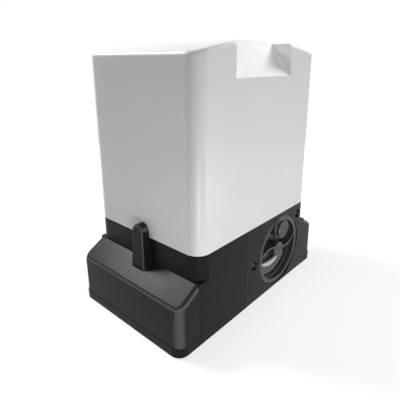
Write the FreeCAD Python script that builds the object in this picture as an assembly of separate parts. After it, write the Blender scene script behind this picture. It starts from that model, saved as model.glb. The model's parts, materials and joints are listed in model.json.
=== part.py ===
import FreeCAD, Part
import math
import os

# Sliding gate motor: a vertical motor drives a worm, a worm wheel and a rack pinion.
# Millimetres, +Z up, +X to the right of someone facing the release disc, front at -Y.
# The origin is on the underside, on the vertical axis of the motor.

V = FreeCAD.Vector
ALONG_Y = V(0, 1, 0)
ALONG_Z = V(0, 0, 1)
ALONG_X = V(1, 0, 0)

# Outside of the operator
BODY_WIDTH = 275.0           # over both side covers
BODY_DEPTH = 168.0           # front to back at the foot
TOTAL_HEIGHT = 300.0         # underside to the crest of the hood
BODY_DRAFT = 0.65            # lean of the casting's front and back, degrees
CORNER_R = 16.0              # upright corners of the skirt and hood
FOOT_CORNER_R = 12.0         # corners of the plinth in plan
PLINTH_H = 9.5
BLOCK_HALF_X = 107.7         # casting between the side covers
BLOCK_TOP = 70.5             # where the square block turns into the round-cornered skirt
SKIRT_HALF_X = 108.2
DECK_TOP = 98.5              # deck of the casting, also where the hood starts
DECK_T = 4.5
CAST_WALL = 6.0
FIT = 0.05                   # radial clearance of a running or sliding fit
SEAM = 0.3                   # gap between covers that lie against each other

# Hood
HOOD_HALF_X = 108.2
HOOD_HALF_Y = 82.8
HOOD_DRAFT = 0.25
HOOD_WALL = 3.0
HOOD_EDGE_R = 5.0            # round along the top edges
VAULT_RISE = 12.0            # height of the barrel roof over its chord
VAULT_HALF_CHORD = 104.0
LIP_H = 6.0                  # upstand of the casting inside the hood
LIP_T = 3.0
SEAL_T = 1.2
BADGE_WIDTH = 100.6          # recess in the front top edge
BADGE_CENTRE_X = -3.7
BADGE_FOOT_Z = 263.0
BADGE_HEAD_Y = -56.4
BADGE_HEAD_Z = 296.9
RIB_T = 2.0                  # stiffening ribs inside the hood
RIB_DEPTH = 7.0

# Side covers and the tabs that clip over the hood
COVER_WALL = 2.6
COVER_FOOT_INSET = 0.5       # cover inside the plinth's outline
COVER_RIDGE_Z = 53.9
COVER_RIDGE_INSET = 1.6
COVER_TOP_Z = 69.7
COVER_CORNER_R = 13.0
COVER_RIDGE_R = 5.0
TAB_FOOT_X = 120.3
TAB_FOOT_Z = 60.0
TAB_HEAD_X = 117.8
TAB_HEAD_Z = 114.0
TAB_FOOT_W = 22.8
TAB_HEAD_W = 16.4
TAB_Y = -2.7
TAB_HEAD_R = 8.0
TAB_EDGE_R = 2.5
TAB_WALL = 3.0

# Fixing slots in the plinth
SLOT_X = 122.5
SLOT_Y = 52.0
SLOT_W = 11.0
SLOT_LEN = 20.0

# Worm gear pair
GEAR_MODULE = 2.0
WHEEL_TEETH = 36
WORM_PITCH_R = 9.0
WORM_TURNS = 6
GEAR_ADDENDUM = 1.6
GEAR_DEDENDUM = 2.4
GEAR_BACKLASH = 1.1
PRESSURE_ANGLE = 20.0
WHEEL_W = 16.0
HUB_R = 22.0

# Output line
SHAFT_R = 12.0
SHAFT_FRONT_R = 10.0
SHAFT_REAR_R = 12.5
SHAFT_END_R = 10.0
SHAFT_COLLAR_R = 15.0
SHAFT_COLLAR_W = 4.0
OUT_Z = 47.5                 # height of the output axis
CHAMBER_R = 40.0
CHAMBER_WALL = 6.0
CHAMBER_FRONT = -30.0
CHAMBER_BACK = 12.0
REAR_TUBE_R = 31.0
REAR_BEARING_R = 26.0
REAR_BEARING_W = 15.0
REAR_BEARING_Y = 60.0
SEAL_W = 6.0
FRONT_BEARING_R = 21.0
FRONT_BEARING_W = 12.0

# Clutch that lets the shaft go when the disc is turned
DOG_TRAVEL = 6.0
DOG_BODY_W = 8.0
DOG_TOOTH_W = 4.0
DOG_R = 20.0
DOG_TOOTH_INNER_R = 14.5
DOG_COUNT = 4
DOG_ANGLE = 40.0
DOG_SIDE_GAP = 1.5           # degrees free on each side of a dog
DOG_GAP = 0.3
PIN_R = 2.5
SPINDLE_R = 4.0
SPINDLE_HEAD_R = 7.0
SPINDLE_HEAD_W = 2.0
SCREW_STEM_R = 6.0
SCREW_STEM_LEN = 17.0
SCREW_COLLAR_W = 4.0
KEYWAY_W = 5.0
KEYWAY_H = 2.4

# Rack pinion
PINION_MODULE = 4.0
PINION_TEETH = 16
PINION_W = 21.0
PINION_GAP = 2.0
PINION_COUNTERBORE_R = 14.0
PINION_COUNTERBORE = 7.0
PINION_BOLT_R = 4.0
PINION_BOLT_HEAD_R = 6.5
PINION_BOLT_HEAD_H = 4.5
WASHER_T = 2.0
KEY_W = 6.0
KEY_LEN = 12.0
KEY_H = 6.0

# Gear cover
COVER_FLANGE_T = 6.0
COVER_SPIGOT = 6.0
COVER_HUB_R = 26.0
COVER_WEB = 3.0
SNOUT_R = 19.0
GUIDE_R = 14.0
GEAR_SCREW_COUNT = 6
GEAR_SCREW_R = 2.0
GEAR_SCREW_HEAD_R = 3.5
GEAR_SCREW_HEAD_H = 4.0
GEAR_SCREW_LEN = 20.0

# Release panel and disc
PANEL_LEFT = -26.0
PANEL_TOP = 97.0
PANEL_T = 3.2
PANEL_CORNER_R = 4.0
DISC_HOLE_R = 45.5
DISC_RECESS = 3.0
DISC_T = 15.0
DISC_RIM_W = 4.4
DISC_FLOOR_T = 3.0
DISC_BOSS_LEN = 15.0
DISC_HUB_R = 9.6
DISC_HUB_RECESS = 1.6
RIDGE_T = 2.2
PAD_RECESS = 4.5
LENS_DEPTH = 9.0
LABEL_T = 0.6
LOCK_OFFSET = 29.9
LOCK_BOSS_R = 11.3
LOCK_R = 7.0
LOCK_CAP_R = 12.0
LOCK_CAP_T = 2.6
LOCK_CAP_PROUD = 3.7
LOCK_PIVOT_OFFSET = 9.0
LOCK_PIVOT_R = 1.5
LOCK_PIN_DEPTH = 4.0         # pin behind the panel's face
SCREW_HOLE_R = 5.8
SCREW_CUP_WALL = 1.6
SCREW_CUP_DEPTH = 9.0
SCREW_CUP_FLOOR = 2.0
PANEL_SCREW_R = 2.2
PANEL_SCREW_HEAD_R = 4.4
PANEL_SCREW_HEAD_H = 3.0
PANEL_SCREW_LEN = 12.0
PANEL_SCREWS = ((-12.0, 48.4), (87.5, 84.0))

# Motor
MOTOR_R = 52.0
STATOR_FOOT = 117.0
STATOR_LEN = 56.0
ROTOR_R = 29.6
AIR_GAP = 0.5
SHIELD_R = 56.0
SHIELD_FLOOR = 5.0
WINDING_REACH = 11.0
WINDING_INNER_R = 34.0
WINDING_OUTER_R = 47.0
MOTOR_BOLT_RING = 57.0
MOTOR_BOLT_R = 2.5
MOTOR_EAR_R = 6.0
MOTOR_SHAFT_R = 7.5
UPPER_SHAFT_R = 8.5
FOOT_SHAFT_R = 6.5
ENCODER_BORE_R = 4.0
BEARING_TOWER = 11.0         # seat of the upper bearing above its shield
SHIELD_GAP = 4.0             # air between the windings and the upper shield
WORM_BEARING_R = 17.5
WORM_BEARING_W = 10.0
FOOT_BEARING_R = 16.0
FOOT_BEARING_W = 9.0
FOOT_BEARING_Z = 6.0
WORM_TUBE_R = 13.0
WORM_TUBE_WALL = 5.0
ENCODER_R = 20.0
ENCODER_T = 1.5

# Electric parts on the deck
BOARD_X = 86.0
BOARD_T = 1.6
BOARD_HALF_Y = 60.0
BOARD_FOOT = 112.0
BOARD_HEAD = 232.0
HOLDER_T = 3.0
STANDOFF_LEN = 5.0
STANDOFF_R = 3.5
CAPACITOR_R = 17.5
CAPACITOR_H = 78.0
CAPACITOR_X = -80.0
CAPACITOR_Y = 46.0
TRANSFORMER_X = -78.0
TRANSFORMER_Y = -42.0
TRANSFORMER_W = 40.0
TRANSFORMER_D = 58.0
TRANSFORMER_H = 50.0
TRANSFORMER_YOKE = 9.0       # iron above and below the windows
TRANSFORMER_WINDOW = 10.0
COIL_OUT = 4.0               # coil beyond the core on each side
CABLE_X = -76.0
CABLE_Y = 10.0
CABLE_HOLE_R = 13.0
CABLE_BORE_R = 8.0
OIL_PLUG_X = 68.0
OIL_PLUG_Y = -8.0
OIL_PLUG_R = 7.0
EARTH_X = -46.0
EARTH_Y = -66.0
EARTH_R = 2.5
SENSOR_W = 30.0
SENSOR_H = 11.0
SENSOR_OUT = 9.0
SENSOR_Z = 91.5

# Worked out from the values above
OUT_X = WORM_PITCH_R + GEAR_MODULE * WHEEL_TEETH / 2
WORM_LEAD = math.pi * GEAR_MODULE
WHEEL_PITCH_R = GEAR_MODULE * WHEEL_TEETH / 2
WHEEL_TIP_R = WHEEL_PITCH_R + GEAR_ADDENDUM
VAULT_R = (VAULT_HALF_CHORD ** 2 + VAULT_RISE ** 2) / (2 * VAULT_RISE)
WHEEL_FRONT = -WHEEL_W / 2
DOG_BACK = WHEEL_FRONT - DOG_GAP
DOG_FRONT = DOG_BACK - DOG_BODY_W
PIN_Y = DOG_FRONT + DOG_BODY_W / 2
FRONT_BEARING_BACK = DOG_FRONT - DOG_TRAVEL - 1.2
FRONT_BEARING_FRONT = FRONT_BEARING_BACK - FRONT_BEARING_W
GUIDE_BACK = FRONT_BEARING_FRONT - COVER_WEB
COLLAR_BACK = GUIDE_BACK - 2.0
COLLAR_FRONT = COLLAR_BACK - SCREW_COLLAR_W
BOSS_BACK = COLLAR_FRONT - DOG_TRAVEL - 0.5
REAR_FACE = BODY_DEPTH / 2
PINION_FRONT = REAR_FACE + PINION_GAP
LOCK_Z = OUT_Z + LOCK_OFFSET
LOCK_PIVOT_X = OUT_X - LOCK_PIVOT_OFFSET
SHIELD_FLOOR_Z = STATOR_FOOT + STATOR_LEN + WINDING_REACH + SHIELD_GAP
SHIELD_HEAD = SHIELD_FLOOR_Z + SHIELD_FLOOR
MOTOR_TOP = SHIELD_HEAD + BEARING_TOWER


def half_depth(z):
    """Half the casting's depth at height z."""
    return BODY_DEPTH / 2 - z * math.tan(math.radians(BODY_DRAFT))


FRONT_AT_DISC = -half_depth(OUT_Z)
DISC_FRONT = FRONT_AT_DISC + DISC_RECESS
DISC_BACK = DISC_FRONT + DISC_T
SNOUT_FRONT = DISC_BACK + 1.0


def block(x0, x1, y0, y1, z0, z1):
    """Box between two corners."""
    return Part.makeBox(x1 - x0, y1 - y0, z1 - z0, V(x0, y0, z0))


def rod_y(radius, y0, y1, x=OUT_X, z=OUT_Z):
    """Cylinder along Y, on the output axis unless told otherwise."""
    return Part.makeCylinder(radius, y1 - y0, V(x, y0, z), ALONG_Y)


def rod_z(radius, z0, z1, x=0.0, y=0.0):
    """Upright cylinder, on the motor axis unless told otherwise."""
    return Part.makeCylinder(radius, z1 - z0, V(x, y, z0), ALONG_Z)


def rod_x(radius, x0, x1, y, z):
    """Cylinder along X."""
    return Part.makeCylinder(radius, x1 - x0, V(x0, y, z), ALONG_X)


def ring_y(inner, outer, y0, y1):
    """Ring on the output axis."""
    return rod_y(outer, y0, y1).cut(rod_y(inner, y0, y1))


def ring_z(inner, outer, z0, z1, x=0.0, y=0.0):
    """Upright ring."""
    return rod_z(outer, z0, z1, x, y).cut(rod_z(inner, z0, z1, x, y))


def on_circle(radius, count, start=0.0):
    """Points spaced evenly on a circle, as pairs."""
    points = []
    for i in range(count):
        angle = math.radians(start + 360.0 * i / count)
        points.append((radius * math.cos(angle), radius * math.sin(angle)))
    return points


def rounded_rect(half_x, half_y, radius, z, x=0.0, y=0.0):
    """Closed wire at height z: a rectangle with round corners."""
    flat_x = half_x - radius
    flat_y = half_y - radius
    arcs = []
    for start, sx, sy in ((0, 1, 1), (90, -1, 1), (180, -1, -1), (270, 1, -1)):
        arc = []
        for step in (0, 45, 90):
            angle = math.radians(start + step)
            px = x + sx * flat_x + radius * math.cos(angle)
            py = y + sy * flat_y + radius * math.sin(angle)
            arc.append(V(px, py, z))
        arcs.append(arc)
    edges = []
    for i in range(4):
        edges.append(Part.Arc(*arcs[i]).toShape())
        edges.append(Part.LineSegment(arcs[i][2], arcs[(i + 1) % 4][0]).toShape())
    return Part.Wire(edges)


def drafted(half_x0, half_y0, half_x1, half_y1, radius, z0, z1, x=0.0):
    """Upright solid whose round-cornered outline changes evenly from z0 to z1."""
    foot = rounded_rect(half_x0, half_y0, radius, z0, x)
    head = rounded_rect(half_x1, half_y1, radius, z1, x)
    return Part.makeLoft([foot, head], True, True)


def slab(half_x, half_y, radius, z0, z1, x=0.0, y=0.0):
    """Upright solid with a round-cornered outline."""
    return Part.Face(rounded_rect(half_x, half_y, radius, z0, x, y)).extrude(V(0, 0, z1 - z0))


def prism_x(points, x0, x1):
    """Outline of (y, z) points drawn out along X."""
    corners = [V(x0, y, z) for y, z in points]
    return Part.Face(Part.makePolygon(corners + corners[:1])).extrude(V(x1 - x0, 0, 0))


def prism_y(points, y0, y1):
    """Outline of (x, z) points drawn out along Y."""
    corners = [V(x, y0, z) for x, z in points]
    return Part.Face(Part.makePolygon(corners + corners[:1])).extrude(V(0, y1 - y0, 0))


def fillet_where(shape, radius, wanted):
    """Round the edges that the test picks."""
    edges = [edge for edge in shape.Edges if wanted(edge)]
    return shape.makeFillet(radius, edges)


def fuse_all(first, others):
    """One solid from a piece and a list of pieces."""
    return first.multiFuse(others).removeSplitter()


def hexagon(across_flats, z0, z1, x, y):
    """Upright hexagonal prism."""
    corners = [V(x + px, y + py, z0) for px, py in on_circle(across_flats / math.sqrt(3), 6)]
    return Part.Face(Part.makePolygon(corners + corners[:1])).extrude(V(0, 0, z1 - z0))


def slot(x, y):
    """Space of one fixing slot, long along X, through the plinth."""
    reach = (SLOT_LEN - SLOT_W) / 2
    middle = block(x - reach, x + reach, y - SLOT_W / 2, y + SLOT_W / 2, -1, PLINTH_H + 1)
    ends = [rod_z(SLOT_W / 2, -1, PLINTH_H + 1, x + side * reach, y) for side in (-1, 1)]
    return middle.multiFuse(ends)


def casting_form():
    """Outer form of the casting: plinth, square block and round-cornered skirt."""
    plinth = slab(BODY_WIDTH / 2, BODY_DEPTH / 2, FOOT_CORNER_R, 0, PLINTH_H)
    foot = half_depth(0)
    head = half_depth(BLOCK_TOP)
    profile = [(-foot, 0), (foot, 0), (head, BLOCK_TOP), (-head, BLOCK_TOP)]
    square = prism_x(profile, -BLOCK_HALF_X, BLOCK_HALF_X)
    skirt = drafted(SKIRT_HALF_X, head, SKIRT_HALF_X, half_depth(DECK_TOP), CORNER_R, BLOCK_TOP, DECK_TOP)
    keep = prism_x([(-foot, 0), (foot, 0), (foot, PLINTH_H), (-foot, PLINTH_H)], -BODY_WIDTH, BODY_WIDTH)
    return fuse_all(plinth.common(keep), [square, skirt])


def panel_region(gap):
    """Space of the release panel: a slice off the front face, larger by the gap."""
    left = PANEL_LEFT - gap
    top = PANEL_TOP + gap
    back = -half_depth(DECK_TOP) + PANEL_T + gap
    region = block(left, BLOCK_HALF_X + gap, -BODY_DEPTH, back, -1.0, top)

    def corner(edge):
        ends = [vertex.Point for vertex in edge.Vertexes]
        return all(abs(p.x - left) < 0.01 and abs(p.z - top) < 0.01 for p in ends)

    return fillet_where(region, PANEL_CORNER_R + gap, corner)


def gear_screw_points():
    """Centres of the gear cover's screws as (x, z)."""
    ring = CHAMBER_R + CHAMBER_WALL / 2
    return [(OUT_X + u, OUT_Z + w) for u, w in on_circle(ring, GEAR_SCREW_COUNT)]


def panel_screw_seat():
    """Depth of the seat under each panel screw's head."""
    return FRONT_AT_DISC + SCREW_CUP_DEPTH - SCREW_CUP_FLOOR


def base_casting():
    """Die-cast body: walls, deck, gear chamber, worm tube, ribs and plinth."""
    form = casting_form()
    under = block(-BLOCK_HALF_X + CAST_WALL, BLOCK_HALF_X - CAST_WALL,
                  -REAR_FACE + CAST_WALL, REAR_FACE - CAST_WALL, -1.0, DECK_TOP - DECK_T)
    shell = form.cut(under)
    lip_half_x = HOOD_HALF_X - HOOD_WALL - SEAL_T - SEAM
    lip_half_y = HOOD_HALF_Y - HOOD_WALL - SEAL_T - SEAM
    lip_r = CORNER_R - HOOD_WALL - SEAL_T
    lip = slab(lip_half_x, lip_half_y, lip_r, DECK_TOP - 1.0, DECK_TOP + LIP_H)
    lip = lip.cut(slab(lip_half_x - LIP_T, lip_half_y - LIP_T, lip_r - LIP_T, DECK_TOP - 2.0, DECK_TOP + LIP_H + 1))
    chamber_r = CHAMBER_R + CHAMBER_WALL
    chamber = rod_y(chamber_r, CHAMBER_FRONT, CHAMBER_BACK + CHAMBER_WALL)
    saddle = block(OUT_X - chamber_r * 0.7, OUT_X + chamber_r * 0.7,
                   CHAMBER_FRONT, CHAMBER_BACK + CHAMBER_WALL, OUT_Z + CHAMBER_R * 0.7, DECK_TOP - DECK_T + 1)
    tube = rod_y(REAR_TUBE_R, CHAMBER_BACK, REAR_FACE - CAST_WALL + 1)
    worm_tube = rod_z(WORM_TUBE_R + WORM_TUBE_WALL, FOOT_BEARING_Z, DECK_TOP)
    foot_boss = rod_z(FOOT_BEARING_R + WORM_TUBE_WALL, 2.0, FOOT_BEARING_Z + FOOT_BEARING_W + 3)
    head_boss = rod_z(WORM_BEARING_R + WORM_TUBE_WALL, DECK_TOP - WORM_BEARING_W - 8, DECK_TOP + 3.5)
    rear_rib = block(-BLOCK_HALF_X + 1, BLOCK_HALF_X - 1, 43.0, 47.0, 24.0, DECK_TOP - 1)
    front_rib = block(-BLOCK_HALF_X + 1, -22.0, -47.0, -43.0, 24.0, DECK_TOP - 1)
    cross_rib = block(-46.0, -42.0, -REAR_FACE + 2, REAR_FACE - 2, 24.0, DECK_TOP - 1)
    right_rib = block(OUT_X + chamber_r - 4, BLOCK_HALF_X - 1, -8.0, -4.0, 24.0, DECK_TOP - 1)
    left_rib = block(-BLOCK_HALF_X + 1, -16.0, 28.0, 32.0, 60.0, DECK_TOP - 1)
    screw_bosses = []
    for x, z in PANEL_SCREWS:
        boss_r = SCREW_HOLE_R + SCREW_CUP_WALL + 1.8
        screw_bosses.append(rod_y(boss_r, -REAR_FACE + CAST_WALL - 1, panel_screw_seat() + PANEL_SCREW_LEN + 2, x, z))
    body = fuse_all(shell, [lip, chamber, saddle, tube, worm_tube, foot_boss, head_boss, rear_rib,
                            front_rib, cross_rib, right_rib, left_rib] + screw_bosses)
    bores = [
        rod_y(CHAMBER_R, CHAMBER_FRONT - 1, CHAMBER_BACK),
        rod_y(SHAFT_COLLAR_R + 4, CHAMBER_BACK - 1, REAR_BEARING_Y + 1),
        rod_y(REAR_BEARING_R + FIT, REAR_BEARING_Y, REAR_FACE + 1),
        rod_z(WORM_TUBE_R, FOOT_BEARING_Z + 1, DECK_TOP + 4),
        rod_z(FOOT_BEARING_R + FIT, FOOT_BEARING_Z, FOOT_BEARING_Z + FOOT_BEARING_W),
        rod_z(WORM_BEARING_R + FIT, DECK_TOP - WORM_BEARING_W, DECK_TOP + 4),
        rod_y(DISC_HOLE_R, -BODY_DEPTH, -REAR_FACE + CAST_WALL + 1),
        rod_z(CABLE_HOLE_R, DECK_TOP - DECK_T - 40, DECK_TOP + 1, CABLE_X, CABLE_Y),
        rod_z(OIL_PLUG_R, OUT_Z, DECK_TOP + 1, OIL_PLUG_X, OIL_PLUG_Y),
        panel_region(FIT * 3),
        rod_z(EARTH_R, DECK_TOP - DECK_T - 8, DECK_TOP + 1, EARTH_X, EARTH_Y),
    ]
    for x, z in gear_screw_points():
        bores.append(rod_y(GEAR_SCREW_R, CHAMBER_FRONT - 1, CHAMBER_FRONT + GEAR_SCREW_LEN, x, z))
    for x, z in PANEL_SCREWS:
        cup_r = SCREW_HOLE_R + SCREW_CUP_WALL + SEAM
        bores.append(rod_y(cup_r, -BODY_DEPTH, panel_screw_seat() + SCREW_CUP_FLOOR + SEAM, x, z))
        bores.append(rod_y(PANEL_SCREW_R, -REAR_FACE, panel_screw_seat() + PANEL_SCREW_LEN, x, z))
    for sx in (-1, 1):
        for sy in (-1, 1):
            bores.append(slot(sx * SLOT_X, sy * SLOT_Y))
    for x, y in on_circle(MOTOR_BOLT_RING, 4, 45):
        bores.append(rod_z(MOTOR_BOLT_R, DECK_TOP - DECK_T - 1, DECK_TOP + 1, x, y))
    return body.cut(bores).removeSplitter()


def gear_cover():
    """Front cover of the gear chamber: flange, bearing seat and guide for the disc's boss."""
    flange = rod_y(CHAMBER_R + CHAMBER_WALL, CHAMBER_FRONT - COVER_FLANGE_T, CHAMBER_FRONT)
    spigot = rod_y(CHAMBER_R - FIT, CHAMBER_FRONT, CHAMBER_FRONT + COVER_SPIGOT)
    hub = rod_y(COVER_HUB_R, GUIDE_BACK - 2.0, CHAMBER_FRONT)
    snout = rod_y(SNOUT_R, SNOUT_FRONT, GUIDE_BACK)
    body = fuse_all(flange, [spigot, hub, snout])
    hollow = rod_y(CHAMBER_R - 6.0, CHAMBER_FRONT, CHAMBER_FRONT + COVER_SPIGOT + 1)
    seat_wall = rod_y(FRONT_BEARING_R + 4.0, CHAMBER_FRONT - 1, CHAMBER_FRONT + COVER_SPIGOT)
    body = body.cut(hollow).fuse(seat_wall)
    bores = [
        rod_y(FRONT_BEARING_R + FIT, FRONT_BEARING_FRONT, 0),
        rod_y(SHAFT_FRONT_R + 1.0, GUIDE_BACK - 1, FRONT_BEARING_FRONT + 1),
        rod_y(GUIDE_R + FIT, SNOUT_FRONT - 1, GUIDE_BACK),
        block(OUT_X - KEYWAY_W / 2 - FIT, OUT_X + KEYWAY_W / 2 + FIT, BOSS_BACK, GUIDE_BACK,
              OUT_Z, OUT_Z + GUIDE_R + KEYWAY_H + 2 * FIT),
    ]
    for x, z in gear_screw_points():
        bores.append(rod_y(GEAR_SCREW_R, CHAMBER_FRONT - 10, CHAMBER_FRONT + 10, x, z))
    return body.cut(bores).removeSplitter()


def cap_screw_y(radius, head_r, head_h, length, x, y, z):
    """Socket-head screw pointing along +Y with its head's underside at y."""
    head = rod_y(head_r, y - head_h, y, x, z)
    socket = rod_y(head_r * 0.5, y - head_h - 1, y - head_h * 0.4, x, z)
    shank = rod_y(radius, y, y + length, x, z)
    return head.cut(socket).fuse(shank)


def gear_cover_screws():
    """Ring of screws that hold the gear cover."""
    screws = []
    for x, z in gear_screw_points():
        seat = CHAMBER_FRONT - COVER_FLANGE_T
        screws.append(cap_screw_y(GEAR_SCREW_R, GEAR_SCREW_HEAD_R, GEAR_SCREW_HEAD_H, GEAR_SCREW_LEN, x, seat, z))
    return Part.makeCompound(screws)


def hood_form(inset, foot):
    """Hood's outer form drawn in by the inset on its sides and roof."""
    head = TOTAL_HEIGHT + 5.0
    lean = (head - DECK_TOP) * math.tan(math.radians(HOOD_DRAFT))
    half_x = HOOD_HALF_X - inset
    half_y = HOOD_HALF_Y - inset
    shaft = drafted(half_x, half_y, half_x - lean, half_y - lean, CORNER_R - inset, foot, head)
    centre = V(0, -BODY_DEPTH, TOTAL_HEIGHT - VAULT_R)
    vault = Part.makeCylinder(VAULT_R - inset, 2 * BODY_DEPTH, centre, ALONG_Y)
    return shaft.common(vault).removeSplitter()


def badge_recess(inset):
    """Space cut from the front top edge for a plain sloping field, grown by the inset."""
    foot_y = -HOOD_HALF_Y
    slope = math.atan2(BADGE_HEAD_Z - BADGE_FOOT_Z, BADGE_HEAD_Y - foot_y)
    dy = inset * math.sin(slope)
    dz = -inset * math.cos(slope)
    reach = 30.0
    low = (foot_y + dy - reach * math.cos(slope), BADGE_FOOT_Z + dz - reach * math.sin(slope))
    high = (BADGE_HEAD_Y + dy + reach * math.cos(slope), BADGE_HEAD_Z + dz + reach * math.sin(slope))
    half = BADGE_WIDTH / 2 + inset
    return prism_x([low, high, (low[0], high[1])], BADGE_CENTRE_X - half, BADGE_CENTRE_X + half)


def hood():
    """Moulded hood: drafted walls under a barrel roof, with a recess and inside ribs."""
    outer = hood_form(0.0, DECK_TOP)
    low = TOTAL_HEIGHT - 2 * VAULT_RISE

    def roof_edge(edge):
        return all(vertex.Point.z > low for vertex in edge.Vertexes)

    outer = fillet_where(outer, HOOD_EDGE_R, roof_edge)
    cavity = hood_form(HOOD_WALL, DECK_TOP - 1.0).cut(badge_recess(HOOD_WALL))
    ribs = []
    rib_foot = DECK_TOP + 40.0
    for x in (-60.0, 0.0, 60.0):
        for side in (-1, 1):
            y0, y1 = sorted((side * (HOOD_HALF_Y - HOOD_WALL - RIB_DEPTH), side * HOOD_HALF_Y))
            ribs.append(block(x - RIB_T / 2, x + RIB_T / 2, y0, y1, rib_foot, TOTAL_HEIGHT))
    ribs.append(block(-HOOD_HALF_X, HOOD_HALF_X, -RIB_T / 2, RIB_T / 2,
                      TOTAL_HEIGHT - VAULT_RISE - HOOD_WALL - RIB_DEPTH, TOTAL_HEIGHT))
    cavity = cavity.cut(ribs)
    return outer.cut(badge_recess(0.0)).cut(cavity).removeSplitter()


def hood_seal():
    """Rubber strip round the casting's upstand, just inside the hood."""
    half_x = HOOD_HALF_X - HOOD_WALL - SEAM
    half_y = HOOD_HALF_Y - HOOD_WALL - SEAM
    outer_r = CORNER_R - HOOD_WALL - SEAM
    z0 = DECK_TOP + 1.5
    z1 = z0 + 3.0
    strip = slab(half_x, half_y, outer_r, z0, z1)
    hole = slab(half_x - SEAL_T, half_y - SEAL_T, outer_r - SEAL_T, z0 - 1, z1 + 1)
    return strip.cut(hole)


def release_panel():
    """Front panel with the disc's round window and two cups for its screws."""
    plate = casting_form().common(panel_region(0.0)).cut(block(-BODY_WIDTH, BODY_WIDTH, -BODY_DEPTH, 0, -1, 0.3))
    cups = []
    bores = [rod_y(DISC_HOLE_R, -BODY_DEPTH, 0)]
    seat = panel_screw_seat()
    for x, z in PANEL_SCREWS:
        cups.append(rod_y(SCREW_HOLE_R + SCREW_CUP_WALL, FRONT_AT_DISC + 1.5, seat + SCREW_CUP_FLOOR, x, z))
        bores.append(rod_y(SCREW_HOLE_R, -BODY_DEPTH, seat, x, z))
        bores.append(rod_y(PANEL_SCREW_R, -BODY_DEPTH, 0, x, z))
    return fuse_all(plate, cups).cut(bores).removeSplitter()


def panel_screws():
    """The two screws of the release panel, at the bottom of their cups."""
    seat = panel_screw_seat()
    screws = []
    for x, z in PANEL_SCREWS:
        screws.append(cap_screw_y(PANEL_SCREW_R, PANEL_SCREW_HEAD_R, PANEL_SCREW_HEAD_H, PANEL_SCREW_LEN, x, seat, z))
    return Part.makeCompound(screws)


def side_cover_form(inset):
    """Left cover's outer form without its tab, drawn in by the inset."""
    side_x = BODY_WIDTH / 2 - COVER_FOOT_INSET - inset
    ridge_x = side_x - COVER_RIDGE_INSET
    inner_x = BLOCK_HALF_X + SEAM
    foot_y = half_depth(PLINTH_H) - SEAM - inset
    head_y = half_depth(COVER_TOP_Z) - SEAM - inset
    foot = PLINTH_H + SEAM - (inset and 1.0)
    radius = COVER_CORNER_R - inset
    head = COVER_TOP_Z + 10.0
    tower = drafted(side_x, foot_y, side_x, head_y, radius, foot, head)
    slope = math.atan2(COVER_TOP_Z - COVER_RIDGE_Z, ridge_x - SKIRT_HALF_X)
    drop = inset / math.cos(slope)
    profile = [(-side_x, foot), (-ridge_x, COVER_RIDGE_Z - drop * 0.5), (-inner_x, COVER_TOP_Z - drop), (-inner_x, foot)]
    return tower.common(prism_y(profile, -BODY_DEPTH, BODY_DEPTH))


def cover_tab():
    """Tab of the left cover: a leaning tongue with a round head, hollow behind."""
    back_x = -HOOD_HALF_X - SEAM
    profile = [(-TAB_FOOT_X, TAB_FOOT_Z - 12), (-TAB_FOOT_X, TAB_FOOT_Z), (-TAB_HEAD_X, TAB_HEAD_Z + 5),
               (back_x, TAB_HEAD_Z + 5), (back_x, TAB_FOOT_Z - 12)]
    tongue = prism_y(profile, TAB_Y - TAB_FOOT_W, TAB_Y + TAB_FOOT_W)
    foot_z = TAB_FOOT_Z - 12
    shoulder_z = TAB_HEAD_Z - TAB_HEAD_R
    foot = TAB_FOOT_W / 2
    head = TAB_HEAD_W / 2
    left = [V(-BODY_WIDTH, TAB_Y - foot, foot_z), V(-BODY_WIDTH, TAB_Y - head, shoulder_z)]
    right = [V(-BODY_WIDTH, TAB_Y + head, shoulder_z), V(-BODY_WIDTH, TAB_Y + foot, foot_z)]
    top = V(-BODY_WIDTH, TAB_Y, TAB_HEAD_Z)
    outline = Part.Wire([
        Part.LineSegment(left[0], left[1]).toShape(),
        Part.Arc(left[1], top, right[0]).toShape(),
        Part.LineSegment(right[0], right[1]).toShape(),
        Part.LineSegment(right[1], left[0]).toShape(),
    ])
    face = Part.Face(outline).extrude(V(BODY_WIDTH, 0, 0))
    tongue = tongue.common(face)

    def outer_rim(edge):
        ends = [vertex.Point for vertex in edge.Vertexes]
        return all(p.x < -TAB_HEAD_X + 1.0 and p.z > foot_z + 1 for p in ends) or all(
            p.x < -TAB_HEAD_X + 1.0 for p in ends) and ends[0].z != ends[-1].z

    return fillet_where(tongue, TAB_EDGE_R, outer_rim)


def left_side_cover():
    """Moulded cover over the left fixing slots, with the tab that holds the hood."""
    outer = side_cover_form(0.0)

    def ridge(edge):
        ends = [vertex.Point for vertex in edge.Vertexes]
        level = all(p.z > COVER_RIDGE_Z - 8 for p in ends)
        return level and not all(p.x > -BLOCK_HALF_X - 1.0 for p in ends)

    outer = fillet_where(outer, COVER_RIDGE_R, ridge)
    tab = cover_tab()
    inner = side_cover_form(COVER_WALL).cut(tab)
    pocket = tab.common(block(-TAB_FOOT_X + TAB_WALL, -BLOCK_HALF_X, TAB_Y - TAB_HEAD_W / 2 + TAB_WALL,
                              TAB_Y + TAB_HEAD_W / 2 - TAB_WALL, 0, TAB_HEAD_Z - TAB_HEAD_R - TAB_WALL))
    return outer.fuse(tab).cut(inner).cut(pocket).removeSplitter()


def right_side_cover():
    """Right cover, the left one mirrored."""
    return left_side_cover().mirror(V(0, 0, 0), ALONG_X)


def arc_face(points, y):
    """Closed face at depth y from stretches: two points are a line, three an arc."""
    edges = []
    for stretch in points:
        corners = [V(OUT_X + u, y, OUT_Z + w) for u, w in stretch]
        if len(corners) == 2:
            edges.append(Part.LineSegment(*corners).toShape())
        else:
            edges.append(Part.Arc(*corners).toShape())
    return Part.Face(Part.Wire(edges))


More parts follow.
